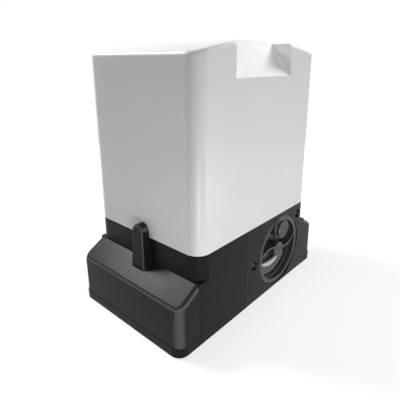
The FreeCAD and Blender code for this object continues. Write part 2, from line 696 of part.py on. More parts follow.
def raised(points, depth, floor):
    """Part of the disc that rises from its floor to a depth behind the panel's face."""
    y0 = FRONT_AT_DISC + depth
    return arc_face(points, y0).extrude(V(0, floor - y0, 0))


def release_disc():
    """Hand disc: rim, floor, S-shaped grip wall, hub, lock boss, label pad and rear boss."""
    floor = DISC_BACK - DISC_FLOOR_T
    body_r = DISC_HOLE_R - SEAM
    inner_r = DISC_HOLE_R - DISC_RIM_W
    disc = rod_y(body_r, DISC_FRONT, DISC_BACK).fuse(rod_y(GUIDE_R, DISC_BACK, BOSS_BACK))
    t = RIDGE_T / 2
    left = [(-43.0, 0.5), (-22.5, 8.0), (-6.0, 4.0)]
    right = [(6.0, 0.5), (20.0, -1.4), (42.0, 11.0)]
    ridge = [[(u, w + t) for u, w in left], [(left[2][0], left[2][1] + t), (right[0][0], right[0][1] + t)],
             [(u, w + t) for u, w in right], [(right[2][0], right[2][1] + t), (right[2][0], right[2][1] - t)],
             [(u, w - t) for u, w in right[::-1]], [(right[0][0], right[0][1] - t), (left[2][0], left[2][1] - t)],
             [(u, w - t) for u, w in left[::-1]], [(left[0][0], left[0][1] - t), (left[0][0], left[0][1] + t)]]
    pad = [[(-43.0, -4.5), (-18.0, -9.0), (6.0, -5.0)], [(6.0, -5.0), (17.0, -12.0)],
           [(17.0, -12.0), (-8.0, -26.5), (-38.0, -19.0)], [(-38.0, -19.0), (-43.0, -4.5)]]
    lens_floor = [[(-43.0, 0.5), (-22.5, 8.0), (-6.0, 4.0)], [(-6.0, 4.0), (6.0, -5.0)],
                  [(6.0, -5.0), (-18.0, -9.0), (-43.0, -4.5)], [(-43.0, -4.5), (-43.0, 0.5)]]
    keep = [
        raised(ridge, DISC_HUB_RECESS, floor),
        raised(pad, PAD_RECESS, floor),
        raised(lens_floor, LENS_DEPTH, floor),
        rod_y(DISC_HUB_R, FRONT_AT_DISC + DISC_HUB_RECESS, floor),
        rod_y(LOCK_BOSS_R, FRONT_AT_DISC - LOCK_CAP_PROUD + LOCK_CAP_T + SEAM, floor, OUT_X, LOCK_Z),
    ]
    inside = rod_y(inner_r, DISC_FRONT - 1, floor)
    reach = rod_y(inner_r + 0.5, -BODY_DEPTH, floor + 0.5)
    grip = Part.makeCompound(keep).common(reach)
    bores = [
        rod_y(SCREW_STEM_R + FIT, COLLAR_FRONT - DOG_TRAVEL - SCREW_STEM_LEN - 1.0, BOSS_BACK + 1),
        rod_y(LOCK_R + FIT, -BODY_DEPTH, floor + 1.0, OUT_X, LOCK_Z),
    ]
    pivot = lock_cap_pin()
    disc = disc.cut(inside).fuse([grip])
    return disc.cut(bores).cut(pivot).removeSplitter()


def disc_label():
    """Pale crescent plate on the disc's pad, left bare."""
    y0 = FRONT_AT_DISC + PAD_RECESS
    outline = [[(-37.0, -7.6), (-15.0, -10.8), (6.6, -8.6)], [(6.6, -8.6), (-15.0, -16.8), (-37.0, -7.6)]]
    return arc_face(outline, y0).extrude(V(0, -LABEL_T, 0))


def lock_cylinder():
    """Key cylinder in the disc's boss, with its keyway."""
    floor = DISC_BACK - DISC_FLOOR_T
    front = FRONT_AT_DISC - LOCK_CAP_PROUD + LOCK_CAP_T + SEAM
    core = rod_y(LOCK_R, front + 0.5, floor + 1.0, OUT_X, LOCK_Z)
    keyway = block(OUT_X - 1.0, OUT_X + 1.0, front, front + 10.0, LOCK_Z - 4.5, LOCK_Z + 4.5)
    return core.cut(keyway)


def lock_cap():
    """Round dust cap that swings aside to show the lock."""
    front = FRONT_AT_DISC - LOCK_CAP_PROUD
    cap = rod_y(LOCK_CAP_R, front, front + LOCK_CAP_T, OUT_X, LOCK_Z)

    def front_rim(edge):
        return all(abs(vertex.Point.y - front) < 0.01 for vertex in edge.Vertexes)

    cap = fillet_where(cap, 0.8, front_rim)
    hole = rod_y(LOCK_PIVOT_R + FIT, front - 1, front + LOCK_CAP_T + 1, LOCK_PIVOT_X, LOCK_Z)
    return cap.cut(hole)


def lock_cap_pin():
    """Pin that the dust cap swings on."""
    front = FRONT_AT_DISC - LOCK_CAP_PROUD
    return rod_y(LOCK_PIVOT_R, front + 0.5, FRONT_AT_DISC + LOCK_PIN_DEPTH, LOCK_PIVOT_X, LOCK_Z)


def release_screw():
    """Sliding screw that the turning disc draws forward; a key keeps it from turning."""
    stem = rod_y(SCREW_STEM_R, COLLAR_FRONT - SCREW_STEM_LEN, COLLAR_FRONT)
    collar = rod_y(GUIDE_R, COLLAR_FRONT, COLLAR_BACK)
    key = block(OUT_X - KEYWAY_W / 2, OUT_X + KEYWAY_W / 2, COLLAR_FRONT, COLLAR_BACK,
                OUT_Z, OUT_Z + GUIDE_R + KEYWAY_H)
    pocket = rod_y(SPINDLE_HEAD_R + FIT, COLLAR_BACK - SPINDLE_HEAD_W - 2 * FIT, COLLAR_BACK + 1)
    return fuse_all(stem, [collar, key]).cut(pocket)


def spindle_clip():
    """Clip ring that keeps the spindle's head in the release screw."""
    return ring_y(SPINDLE_R + SEAM, GUIDE_R - 3.0, COLLAR_BACK, COLLAR_BACK + 0.8)


def draw_spindle():
    """Thin spindle down the middle of the shaft, from the release screw to the cross pin."""
    stem = rod_y(SPINDLE_R - FIT, COLLAR_BACK - SPINDLE_HEAD_W, PIN_Y + PIN_R + 2.5)
    head = rod_y(SPINDLE_HEAD_R, COLLAR_BACK - SPINDLE_HEAD_W - FIT, COLLAR_BACK - FIT)
    return stem.fuse(head).cut(rod_x(PIN_R, OUT_X - DOG_R, OUT_X + DOG_R, PIN_Y, OUT_Z))


def cross_pin():
    """Pin through the spindle, the shaft's slot and the dog ring."""
    reach = DOG_R - 2.0
    return rod_x(PIN_R, OUT_X - reach, OUT_X + reach, PIN_Y, OUT_Z)


def dog_sectors(inner, outer, y0, y1, spread):
    """Ring sectors of the dog teeth, or of the sockets they enter."""
    sectors = []
    for i in range(DOG_COUNT):
        middle = 360.0 * i / DOG_COUNT + 45.0
        wedge = Part.makeCylinder(outer, y1 - y0, V(0, y0, 0), ALONG_Y, spread)
        wedge = wedge.cut(Part.makeCylinder(inner, y1 - y0, V(0, y0, 0), ALONG_Y))
        wedge.rotate(V(0, 0, 0), ALONG_Y, middle - spread / 2)
        wedge.translate(V(OUT_X, 0, OUT_Z))
        sectors.append(wedge)
    return sectors


def clutch_dog():
    """Dog ring that slides on the shaft and locks it to the worm wheel."""
    ring = ring_y(SHAFT_R + FIT, DOG_R, DOG_FRONT, DOG_BACK)
    teeth = dog_sectors(DOG_TOOTH_INNER_R, DOG_R, DOG_BACK - 0.5, DOG_BACK + DOG_TOOTH_W, DOG_ANGLE)
    reach = DOG_R - 2.0
    return fuse_all(ring, teeth).cut(rod_x(PIN_R, OUT_X - reach, OUT_X + reach, PIN_Y, OUT_Z))


def wheel_hub():
    """Steel hub of the worm wheel, with sockets for the dogs."""
    hub = ring_y(SHAFT_R + FIT, HUB_R, WHEEL_FRONT, -WHEEL_FRONT)
    depth = DOG_TOOTH_W - DOG_GAP + 0.5
    sockets = dog_sectors(DOG_TOOTH_INNER_R - SEAM, DOG_R + SEAM, WHEEL_FRONT - 1, WHEEL_FRONT + depth,
                          DOG_ANGLE + 2 * DOG_SIDE_GAP)
    return hub.cut(sockets)


def worm_wheel():
    """Bronze ring with slanted gashes that mesh with the worm."""
    ring = ring_y(HUB_R, WHEEL_TIP_R, WHEEL_FRONT, -WHEEL_FRONT)
    lead_angle = math.degrees(math.atan2(WORM_LEAD, 2 * math.pi * WORM_PITCH_R))
    rise = math.tan(math.radians(PRESSURE_ANGLE))
    root_r = WHEEL_PITCH_R - GEAR_DEDENDUM
    half_root = WORM_LEAD / 4 - GEAR_DEDENDUM * rise
    half_tip = WORM_LEAD / 4 + (GEAR_ADDENDUM + 2.0) * rise
    tip_r = WHEEL_TIP_R + 2.0
    profile = [(-tip_r, -half_tip), (-root_r, -half_root), (-root_r, half_root), (-tip_r, half_tip)]
    gash = prism_y(profile, -WHEEL_W, WHEEL_W)
    gash.rotate(V(0, 0, 0), ALONG_X, lead_angle)
    gashes = []
    for i in range(WHEEL_TEETH):
        cut = gash.copy()
        cut.rotate(V(0, 0, 0), ALONG_Y, 360.0 * i / WHEEL_TEETH)
        cut.translate(V(OUT_X, 0, OUT_Z))
        gashes.append(cut)
    return ring.cut(gashes)


def output_shaft():
    """Stepped shaft: bored and slotted in front for the clutch, keyed behind for the pinion."""
    wheel_back = -WHEEL_FRONT + FIT
    collar_back = wheel_back + SHAFT_COLLAR_W
    steps = [
        rod_y(SHAFT_FRONT_R, FRONT_BEARING_FRONT - 0.5, FRONT_BEARING_BACK + 1),
        rod_y(SHAFT_R, FRONT_BEARING_BACK, wheel_back + 1),
        rod_y(SHAFT_COLLAR_R, wheel_back, collar_back),
        rod_y(SHAFT_REAR_R, collar_back - 1, PINION_FRONT),
    ]
    end = rod_y(SHAFT_END_R, PINION_FRONT - 1, PINION_FRONT + PINION_W - PINION_COUNTERBORE - 0.5)
    body = fuse_all(end, steps)
    bore_end = PIN_Y + PIN_R + 3.5
    slot_r = PIN_R + 0.3
    slot = block(OUT_X - 20, OUT_X + 20, PIN_Y - DOG_TRAVEL, PIN_Y, OUT_Z - slot_r, OUT_Z + slot_r)
    slot_ends = [rod_x(slot_r, OUT_X - 20, OUT_X + 20, y, OUT_Z) for y in (PIN_Y - DOG_TRAVEL, PIN_Y)]
    keyseat = pinion_key_form()
    bolt_bore = rod_y(PINION_BOLT_R, PINION_FRONT - 10, PINION_FRONT + PINION_W)
    cuts = [rod_y(SPINDLE_R + FIT, -BODY_DEPTH, bore_end), slot.multiFuse(slot_ends), keyseat, bolt_bore]
    return body.cut(cuts).removeSplitter()


def pinion_key_form():
    """Parallel key between the shaft's end and the pinion."""
    y0 = PINION_FRONT + 1.0
    z0 = OUT_Z + SHAFT_END_R - KEY_H / 2
    return block(OUT_X - KEY_W / 2, OUT_X + KEY_W / 2, y0, y0 + KEY_LEN, z0, z0 + KEY_H)


def involute_half_angle(radius, base_r, pitch_half, pitch_inv):
    """Half the angle that a tooth spans at a radius."""
    angle = math.acos(min(1.0, base_r / radius))
    return pitch_half + pitch_inv - (math.tan(angle) - angle)


def pinion():
    """Steel rack pinion with involute teeth, keyed and bolted to the shaft's end."""
    pressure = math.radians(PRESSURE_ANGLE)
    pitch_r = PINION_MODULE * PINION_TEETH / 2
    tip_r = pitch_r + PINION_MODULE
    root_r = pitch_r - 1.25 * PINION_MODULE
    base_r = pitch_r * math.cos(pressure)
    pitch_half = math.pi / (2 * PINION_TEETH)
    pitch_inv = math.tan(pressure) - pressure
    halves = [involute_half_angle(r, base_r, pitch_half, pitch_inv) for r in (base_r, pitch_r, tip_r)]

    def at(radius, angle):
        return V(OUT_X + radius * math.cos(angle), PINION_FRONT, OUT_Z + radius * math.sin(angle))

    edges = []
    step = 2 * math.pi / PINION_TEETH
    for i in range(PINION_TEETH):
        a = i * step
        rise = [at(base_r, a - halves[0]), at(pitch_r, a - halves[1]), at(tip_r, a - halves[2])]
        fall = [at(tip_r, a + halves[2]), at(pitch_r, a + halves[1]), at(base_r, a + halves[0])]
        foot = at(root_r, a - halves[0])
        heel = at(root_r, a + halves[0])
        following = at(root_r, a + step - halves[0])
        edges.append(Part.LineSegment(foot, rise[0]).toShape())
        edges.append(Part.Arc(*rise).toShape())
        edges.append(Part.Arc(rise[2], at(tip_r, a), fall[0]).toShape())
        edges.append(Part.Arc(*fall).toShape())
        edges.append(Part.LineSegment(fall[2], heel).toShape())
        edges.append(Part.Arc(heel, at(root_r, a + step / 2), following).toShape())
    body = Part.Face(Part.Wire(edges)).extrude(V(0, PINION_W, 0))
    back = PINION_FRONT + PINION_W
    cuts = [
        rod_y(SHAFT_END_R, PINION_FRONT - 1, back),
        rod_y(PINION_COUNTERBORE_R, back - PINION_COUNTERBORE, back + 1),
        pinion_key_form(),
    ]
    return body.cut(cuts)


def pinion_washer():
    """Thick washer in the pinion's counterbore."""
    y0 = PINION_FRONT + PINION_W - PINION_COUNTERBORE
    return ring_y(PINION_BOLT_R, PINION_COUNTERBORE_R - 1.0, y0, y0 + WASHER_T)


def pinion_bolt():
    """Bolt that holds the pinion on the shaft."""
    seat = PINION_FRONT + PINION_W - PINION_COUNTERBORE + WASHER_T
    head = rod_y(PINION_BOLT_HEAD_R, seat, seat + PINION_BOLT_HEAD_H)
    socket = rod_y(PINION_BOLT_HEAD_R * 0.5, seat + 1.5, seat + PINION_BOLT_HEAD_H + 1)
    shank = rod_y(PINION_BOLT_R, PINION_FRONT - 8, seat)
    return head.cut(socket).fuse(shank)


def bearing(axis, inner, outer, width, centre):
    """Shielded ball bearing turned about the axis: two rings and a recessed shield."""
    third = (outer - inner) / 3.2
    dish = 0.8
    points = [(inner, 0), (inner + third, 0), (inner + third, dish), (outer - third, dish), (outer - third, 0),
              (outer, 0), (outer, width), (outer - third, width), (outer - third, width - dish),
              (inner + third, width - dish), (inner + third, width), (inner, width)]
    corners = [V(r, 0, h) for r, h in points]
    body = Part.Face(Part.makePolygon(corners + corners[:1])).revolve(V(0, 0, 0), ALONG_Z, 360)
    if axis == "y":
        body.rotate(V(0, 0, 0), ALONG_X, -90)
    body.translate(centre)
    return body


def front_bearing():
    """Ball bearing under the front end of the output shaft."""
    centre = V(OUT_X, FRONT_BEARING_FRONT, OUT_Z)
    return bearing("y", SHAFT_FRONT_R + FIT, FRONT_BEARING_R, FRONT_BEARING_W, centre)


def rear_bearing():
    """Ball bearing beside the pinion."""
    centre = V(OUT_X, REAR_BEARING_Y, OUT_Z)
    return bearing("y", SHAFT_REAR_R + FIT, REAR_BEARING_R, REAR_BEARING_W, centre)


def bearing_circlip():
    """Spring ring behind the rear bearing."""
    y0 = REAR_BEARING_Y + REAR_BEARING_W
    return ring_y(REAR_BEARING_R - 3.0, REAR_BEARING_R, y0, y0 + 1.5)


def shaft_seal():
    """Rubber oil seal where the output shaft leaves the casting."""
    y1 = half_depth(OUT_Z + REAR_BEARING_R) - 0.5
    y0 = y1 - SEAL_W
    body = ring_y(SHAFT_REAR_R + FIT, REAR_BEARING_R, y0, y1)
    return body.cut(ring_y(SHAFT_REAR_R + 2.5, REAR_BEARING_R - 3.0, y1 - 1.5, y1 + 1))


def worm_shaft():
    """Motor shaft with the worm cut on it, from the foot bearing to the encoder."""
    start = OUT_Z - WORM_LEAD * WORM_TURNS / 2
    helix = Part.makeHelix(WORM_LEAD, WORM_LEAD * WORM_TURNS, WORM_PITCH_R)
    helix.translate(V(0, 0, start))
    rise = math.tan(math.radians(PRESSURE_ANGLE))
    tip_r = WORM_PITCH_R + GEAR_ADDENDUM
    root_r = WORM_PITCH_R - GEAR_DEDENDUM
    half_pitch = (WORM_LEAD / 2 - GEAR_BACKLASH) / 2
    half_tip = half_pitch - GEAR_ADDENDUM * rise
    half_root = half_pitch + (GEAR_DEDENDUM + 0.3) * rise
    corners = [V(root_r - 0.3, 0, start - half_root), V(tip_r, 0, start - half_tip),
               V(tip_r, 0, start + half_tip), V(root_r - 0.3, 0, start + half_root)]
    profile = Part.makePolygon(corners + corners[:1])
    thread = Part.Wire(helix.Edges).makePipeShell([profile], True, True)
    foot = start - WORM_LEAD
    head = OUT_Z * 2 - foot
    core = rod_z(root_r, foot, head)
    lower = rod_z(FOOT_SHAFT_R, FOOT_BEARING_Z, foot)
    middle = rod_z(UPPER_SHAFT_R, head, STATOR_FOOT - 2)
    upper = rod_z(MOTOR_SHAFT_R, STATOR_FOOT - 2, MOTOR_TOP + 1)
    nose = rod_z(ENCODER_BORE_R, MOTOR_TOP + 1, MOTOR_TOP + 6)
    return fuse_all(core, [thread, lower, middle, upper, nose])


def foot_bearing():
    """Ball bearing at the worm's lower end."""
    return bearing("z", FOOT_SHAFT_R + FIT, FOOT_BEARING_R, FOOT_BEARING_W, V(0, 0, FOOT_BEARING_Z))


def worm_bearing():
    """Ball bearing between the worm and the motor."""
    return bearing("z", UPPER_SHAFT_R + FIT, WORM_BEARING_R, WORM_BEARING_W, V(0, 0, DECK_TOP - WORM_BEARING_W))


def motor_bearing():
    """Ball bearing in the motor's upper shield."""
    return bearing("z", MOTOR_SHAFT_R + FIT, FOOT_BEARING_R, FOOT_BEARING_W, V(0, 0, MOTOR_TOP - FOOT_BEARING_W - 1))


def rotor_core():
    """Laminated rotor on the motor shaft, with its end rings."""
    z0 = STATOR_FOOT
    z1 = STATOR_FOOT + STATOR_LEN
    core = rod_z(ROTOR_R, z0, z1)
    rings = [ring_z(ROTOR_R - 9, ROTOR_R - 2, z0 - 5, z0), ring_z(ROTOR_R - 9, ROTOR_R - 2, z1, z1 + 5)]
    return fuse_all(core, rings).cut(rod_z(MOTOR_SHAFT_R, z0 - 6, z1 + 6))


def stator_core():
    """Laminated stator stack with slots along its bore."""
    z1 = STATOR_FOOT + STATOR_LEN
    stack = ring_z(ROTOR_R + AIR_GAP, MOTOR_R, STATOR_FOOT, z1)
    slots = [rod_z(3.6, STATOR_FOOT - 1, z1 + 1, x, y) for x, y in on_circle(ROTOR_R + 8.5, 24)]
    return stack.cut(slots)


def stator_windings():
    """Copper end turns above and below the stator stack."""
    turns = []
    mid_r = (WINDING_INNER_R + WINDING_OUTER_R) / 2
    width = (WINDING_OUTER_R - WINDING_INNER_R) / 2
    for z0, z1 in ((STATOR_FOOT - WINDING_REACH, STATOR_FOOT),
                   (STATOR_FOOT + STATOR_LEN, STATOR_FOOT + STATOR_LEN + WINDING_REACH)):
        coil = ring_z(mid_r - width, mid_r + width, z0, z1)
        turns.append(coil.makeFillet(3.0, [edge for edge in coil.Edges if edge.Length > 100]))
    return Part.makeCompound(turns)


def motor_bolt_points():
    """Centres of the motor's through bolts."""
    return on_circle(MOTOR_BOLT_RING, 4, 45)


def motor_shield(z0, z1, floor_z, bore_r, spigot_r):
    """Cup-shaped motor shield with bolt ears; its floor is at floor_z."""
    cup = rod_z(SHIELD_R, z0, z1)
    ears = [rod_z(MOTOR_EAR_R, z0, z1, x, y) for x, y in motor_bolt_points()]
    body = fuse_all(cup, ears)
    inside = [rod_z(MOTOR_R - 2.0, z0 - 1, z1 + 1).cut(rod_z(MOTOR_R, floor_z, floor_z + SHIELD_FLOOR))]
    holes = [rod_z(MOTOR_BOLT_R, z0 - 1, z1 + 1, x, y) for x, y in motor_bolt_points()]
    body = body.cut(inside).cut(holes)
    if spigot_r > bore_r:
        body = body.fuse(rod_z(spigot_r, floor_z - FOOT_BEARING_W + 2, floor_z + SHIELD_FLOOR + 2))
    return body.cut(rod_z(bore_r, z0 - 30, z1 + 30)).removeSplitter()


def motor_lower_shield():
    """Foot of the motor, standing on the deck round the worm bearing's boss."""
    bore_r = WORM_BEARING_R + WORM_TUBE_WALL + SEAM
    return motor_shield(DECK_TOP, STATOR_FOOT, DECK_TOP, bore_r, 0.0)


def motor_upper_shield():
    """Upper end of the motor, with the seat of its bearing."""
    foot = STATOR_FOOT + STATOR_LEN
    body = motor_shield(foot, SHIELD_HEAD, SHIELD_FLOOR_Z, MOTOR_SHAFT_R + 1.5, FOOT_BEARING_R + 5.0)
    seat = rod_z(FOOT_BEARING_R + FIT, MOTOR_TOP - FOOT_BEARING_W - 1, MOTOR_TOP + 1)
    tower = ring_z(FOOT_BEARING_R, FOOT_BEARING_R + 5.0, SHIELD_FLOOR_Z, MOTOR_TOP)
    return body.fuse(tower).cut(seat).removeSplitter()


def motor_bolts():
    """Four long bolts through both motor shields into the deck."""
    bolts = []
    for x, y in motor_bolt_points():
        head = rod_z(MOTOR_BOLT_R * 1.7, SHIELD_HEAD, SHIELD_HEAD + 4.5, x, y)
        shank = rod_z(MOTOR_BOLT_R, DECK_TOP - DECK_T, SHIELD_HEAD, x, y)
        bolts.append(head.cut(rod_z(MOTOR_BOLT_R * 0.8, SHIELD_HEAD + 2, SHIELD_HEAD + 6, x, y)).fuse(shank))
    return Part.makeCompound(bolts)


def encoder_disc():
    """Slotted disc on top of the motor shaft."""
    z0 = MOTOR_TOP + 2.0
    disc = ring_z(ENCODER_BORE_R, ENCODER_R, z0, z0 + ENCODER_T)
    slots = [block(-0.9, 0.9, ENCODER_R - 5.0, ENCODER_R + 1, z0 - 1, z0 + 3) for i in range(12)]
    for i, cut in enumerate(slots):
        cut.rotate(V(0, 0, 0), ALONG_Z, 30.0 * i)
    return disc.cut(slots)


def encoder_sensor():
    """Fork sensor that straddles the encoder disc's rim."""
    z0 = MOTOR_TOP
    post = block(-5.0, 5.0, -ENCODER_R - 8.0, -ENCODER_R - 1.0, SHIELD_HEAD, z0 + 8.0)
    fork = block(-5.0, 5.0, -ENCODER_R - 2.0, -ENCODER_R + 5.0, z0, z0 + 8.0)
    gap = block(-6.0, 6.0, -ENCODER_R - 0.7, -ENCODER_R + 6.0, z0 + 1.0, z0 + 4.5)
    return post.fuse(fork).cut(gap).removeSplitter()


def board_holder():
    """Plastic frame that stands on the deck and carries the control board."""
    x0 = BOARD_X - STANDOFF_LEN - HOLDER_T
    plate = block(x0, x0 + HOLDER_T, -BOARD_HALF_Y - 4, BOARD_HALF_Y + 4, DECK_TOP, BOARD_HEAD + 4)
    window = block(x0 - 1, x0 + HOLDER_T + 1, -BOARD_HALF_Y + 12, BOARD_HALF_Y - 12, BOARD_FOOT + 14, BOARD_HEAD - 14)
    feet = [block(x0, x0 + 14.0, side * 45.0 - 6.0, side * 45.0 + 6.0, DECK_TOP, DECK_TOP + 3.0) for side in (-1, 1)]
    posts = [rod_x(STANDOFF_R, x0 + 1, BOARD_X, y, z) for y, z in board_corners()]
    return fuse_all(plate.cut(window), feet + posts)


def board_corners():
    """Centres of the board's four fixings as (y, z)."""
    inset = 6.0
    return [(sy * (BOARD_HALF_Y - inset), z) for sy in (-1, 1) for z in (BOARD_FOOT + inset, BOARD_HEAD - inset)]


def control_board():
    """Circuit board with its four fixing holes."""
    board = block(BOARD_X, BOARD_X + BOARD_T, -BOARD_HALF_Y, BOARD_HALF_Y, BOARD_FOOT, BOARD_HEAD)
    holes = [rod_x(1.7, BOARD_X - 1, BOARD_X + BOARD_T + 1, y, z) for y, z in board_corners()]
    return board.cut(holes)


def on_board(depth, y0, y1, z0, z1):
    """Block that stands off the board's outer face."""
    x0 = BOARD_X + BOARD_T
    return block(x0, x0 + depth, y0, y1, z0, z1)


def terminal_blocks():
    """Row of plug-in terminals along the foot of the board."""
    blocks = []
    for i in range(4):
        y0 = -46.0 + 24.0 * i
        body = on_board(10.0, y0, y0 + 20.0, BOARD_FOOT + 12, BOARD_FOOT + 24)
        ways = [rod_x(1.5, BOARD_X + 6, BOARD_X + 20, y0 + 2.5 + 5.0 * k, BOARD_FOOT + 18) for k in range(4)]
        blocks.append(body.cut(ways))
    return Part.makeCompound(blocks)


def relays():
    """Motor relays on the board."""
    return Part.makeCompound([on_board(13.0, -44.0 + 22.0 * i, -28.0 + 22.0 * i, 196, 216) for i in range(3)])


def board_capacitors():
    """Upright cans on the board."""
    x0 = BOARD_X + BOARD_T
    return Part.makeCompound([rod_x(6.0, x0, x0 + 13.0, 34.0, z) for z in (176.0, 192.0, 208.0)])


def fuse_holder():
    """Fuse carrier on the board."""
    body = on_board(9.0, -50.0, -26.0, 158, 168)
    return body.cut(rod_y(2.8, -52, -24, BOARD_X + BOARD_T + 9.0, 163))


def processor():
    """Main chip of the board, with its program switches beside it."""
    return Part.makeCompound([on_board(3.0, -12.0, 12.0, 150, 174), on_board(5.0, -8.0, 14.0, 182, 189)])


def run_capacitor():
    """Motor capacitor standing on the deck."""
    can = rod_z(CAPACITOR_R, DECK_TOP, DECK_TOP + CAPACITOR_H, CAPACITOR_X, CAPACITOR_Y)
    can = fillet_where(can, 2.0, lambda edge: edge.CenterOfMass.z > DECK_TOP + CAPACITOR_H - 0.1)
    tags = [block(CAPACITOR_X + s - 0.4, CAPACITOR_X + s + 0.4, CAPACITOR_Y - 3, CAPACITOR_Y + 3,
                  DECK_TOP + CAPACITOR_H - 1, DECK_TOP + CAPACITOR_H + 8) for s in (-6, 6)]
    return fuse_all(can, tags)


def capacitor_clip():
    """Band and foot that hold the capacitor."""
    z0 = DECK_TOP + CAPACITOR_H * 0.4
    band = ring_z(CAPACITOR_R, CAPACITOR_R + 1.5, z0, z0 + 12, CAPACITOR_X, CAPACITOR_Y)
    foot = block(CAPACITOR_X - 6, CAPACITOR_X + 6, CAPACITOR_Y + CAPACITOR_R, CAPACITOR_Y + CAPACITOR_R + 1.5,
                 DECK_TOP, z0 + 12)
    toe = block(CAPACITOR_X - 6, CAPACITOR_X + 6, CAPACITOR_Y + CAPACITOR_R, CAPACITOR_Y + CAPACITOR_R + 10,
                DECK_TOP, DECK_TOP + 1.5)
    return fuse_all(band, [foot, toe])


def transformer_core():
    """Laminated core of the supply transformer."""
    core = block(TRANSFORMER_X - TRANSFORMER_W / 2, TRANSFORMER_X + TRANSFORMER_W / 2,
                 TRANSFORMER_Y - TRANSFORMER_D / 2, TRANSFORMER_Y + TRANSFORMER_D / 2,
                 DECK_TOP, DECK_TOP + TRANSFORMER_H)
    windows = []
    for side in (-1, 1):
        y = TRANSFORMER_Y + side * TRANSFORMER_D / 4
        windows.append(block(TRANSFORMER_X - 30, TRANSFORMER_X + 30, y - 5, y + 5, DECK_TOP + 9, DECK_TOP + TRANSFORMER_H - 9))
    return core.cut(windows)


def transformer_coil():
    """Wound bobbin through the transformer's windows."""
    z0 = DECK_TOP + 9
    z1 = DECK_TOP + TRANSFORMER_H - 9
    middle_y = TRANSFORMER_D / 4 - 5
    half_x = TRANSFORMER_W / 2 + COIL_OUT
    half_y = TRANSFORMER_D / 4 + 5
    body = slab(half_x, half_y, 5.0, z0, z1, TRANSFORMER_X, TRANSFORMER_Y)
    hole = block(TRANSFORMER_X - TRANSFORMER_W / 2, TRANSFORMER_X + TRANSFORMER_W / 2,
                 TRANSFORMER_Y - middle_y, TRANSFORMER_Y + middle_y, z0 - 1, z1 + 1)
    return body.cut(hole)


def cable_grommet():
    """Rubber bush where the supply cables come up through the deck."""
    z0 = DECK_TOP - DECK_T
    neck = rod_z(CABLE_HOLE_R, z0 - 2.5, DECK_TOP + 2.5, CABLE_X, CABLE_Y)
    flanges = [rod_z(CABLE_HOLE_R + 3, z0 - 2.5, z0, CABLE_X, CABLE_Y),
               rod_z(CABLE_HOLE_R + 3, DECK_TOP, DECK_TOP + 2.5, CABLE_X, CABLE_Y)]
    return fuse_all(neck, flanges).cut(rod_z(CABLE_BORE_R, z0 - 5, DECK_TOP + 5, CABLE_X, CABLE_Y))


def earth_screw():
    """Earth terminal on the deck."""
    shank = rod_z(EARTH_R, DECK_TOP - DECK_T, DECK_TOP + 2, EARTH_X, EARTH_Y)
    washer = rod_z(EARTH_R * 2.2, DECK_TOP, DECK_TOP + 1.5, EARTH_X, EARTH_Y)
    return fuse_all(shank, [washer, hexagon(8.0, DECK_TOP + 1.5, DECK_TOP + 5.5, EARTH_X, EARTH_Y)])


def oil_plug():
    """Filling plug of the gear chamber."""
    stem = rod_z(OIL_PLUG_R, DECK_TOP - DECK_T - 4, DECK_TOP, OIL_PLUG_X, OIL_PLUG_Y)
    return stem.fuse(hexagon(17.0, DECK_TOP, DECK_TOP + 6, OIL_PLUG_X, OIL_PLUG_Y))


def limit_sensor():
    """Travel-limit sensor on the casting's back, above the pinion."""
    face = half_depth(SENSOR_Z - SENSOR_H / 2)
    body = block(OUT_X - SENSOR_W / 2, OUT_X + SENSOR_W / 2, face, face + SENSOR_OUT,
                 SENSOR_Z - SENSOR_H / 2, SENSOR_Z + SENSOR_H / 2)
    body = body.makeFillet(1.5, [edge for edge in body.Edges if edge.CenterOfMass.y > face + 0.1])
    return body


PIECES = {
    "base_casting": base_casting,
    "gear_cover": gear_cover,
    "gear_cover_screws": gear_cover_screws,
    "hood": hood,
    "hood_seal": hood_seal,
    "release_panel": release_panel,
    "panel_screws": panel_screws,
    "left_side_cover": left_side_cover,
    "right_side_cover": right_side_cover,
    "release_disc": release_disc,
    "disc_label": disc_label,
    "lock_cylinder": lock_cylinder,
    "lock_cap": lock_cap,
    "lock_cap_pin": lock_cap_pin,
    "release_screw": release_screw,
    "spindle_clip": spindle_clip,
    "draw_spindle": draw_spindle,
    "cross_pin": cross_pin,
    "clutch_dog": clutch_dog,
    "wheel_hub": wheel_hub,
    "worm_wheel": worm_wheel,
    "output_shaft": output_shaft,
    "pinion": pinion,
    "pinion_key": pinion_key_form,
    "pinion_washer": pinion_washer,
    "pinion_bolt": pinion_bolt,
    "front_bearing": front_bearing,
    "rear_bearing": rear_bearing,
    "bearing_circlip": bearing_circlip,
    "shaft_seal": shaft_seal,
    "worm_shaft": worm_shaft,
    "foot_bearing": foot_bearing,
    "worm_bearing": worm_bearing,
    "motor_bearing": motor_bearing,
    "rotor_core": rotor_core,
    "stator_core": stator_core,
    "stator_windings": stator_windings,
    "motor_lower_shield": motor_lower_shield,
    "motor_upper_shield": motor_upper_shield,
    "motor_bolts": motor_bolts,
    "encoder_disc": encoder_disc,
    "encoder_sensor": encoder_sensor,
    "board_holder": board_holder,
    "control_board": control_board,
    "terminal_blocks": terminal_blocks,
    "relays": relays,
    "board_capacitors": board_capacitors,
    "fuse_holder": fuse_holder,
    "processor": processor,
    "run_capacitor": run_capacitor,
    "capacitor_clip": capacitor_clip,
    "transformer_core": transformer_core,
    "transformer_coil": transformer_coil,
    "cable_grommet": cable_grommet,
    "earth_screw": earth_screw,
    "oil_plug": oil_plug,
    "limit_sensor": limit_sensor,
}


os.makedirs("parts", exist_ok=True)
for name, make in PIECES.items():
    shape = make()
    shape.exportStep("parts/" + name + ".step")
    print(name, len(shape.Solids), shape.isValid(), round(shape.Volume / 1000, 2))
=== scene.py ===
import json
import math

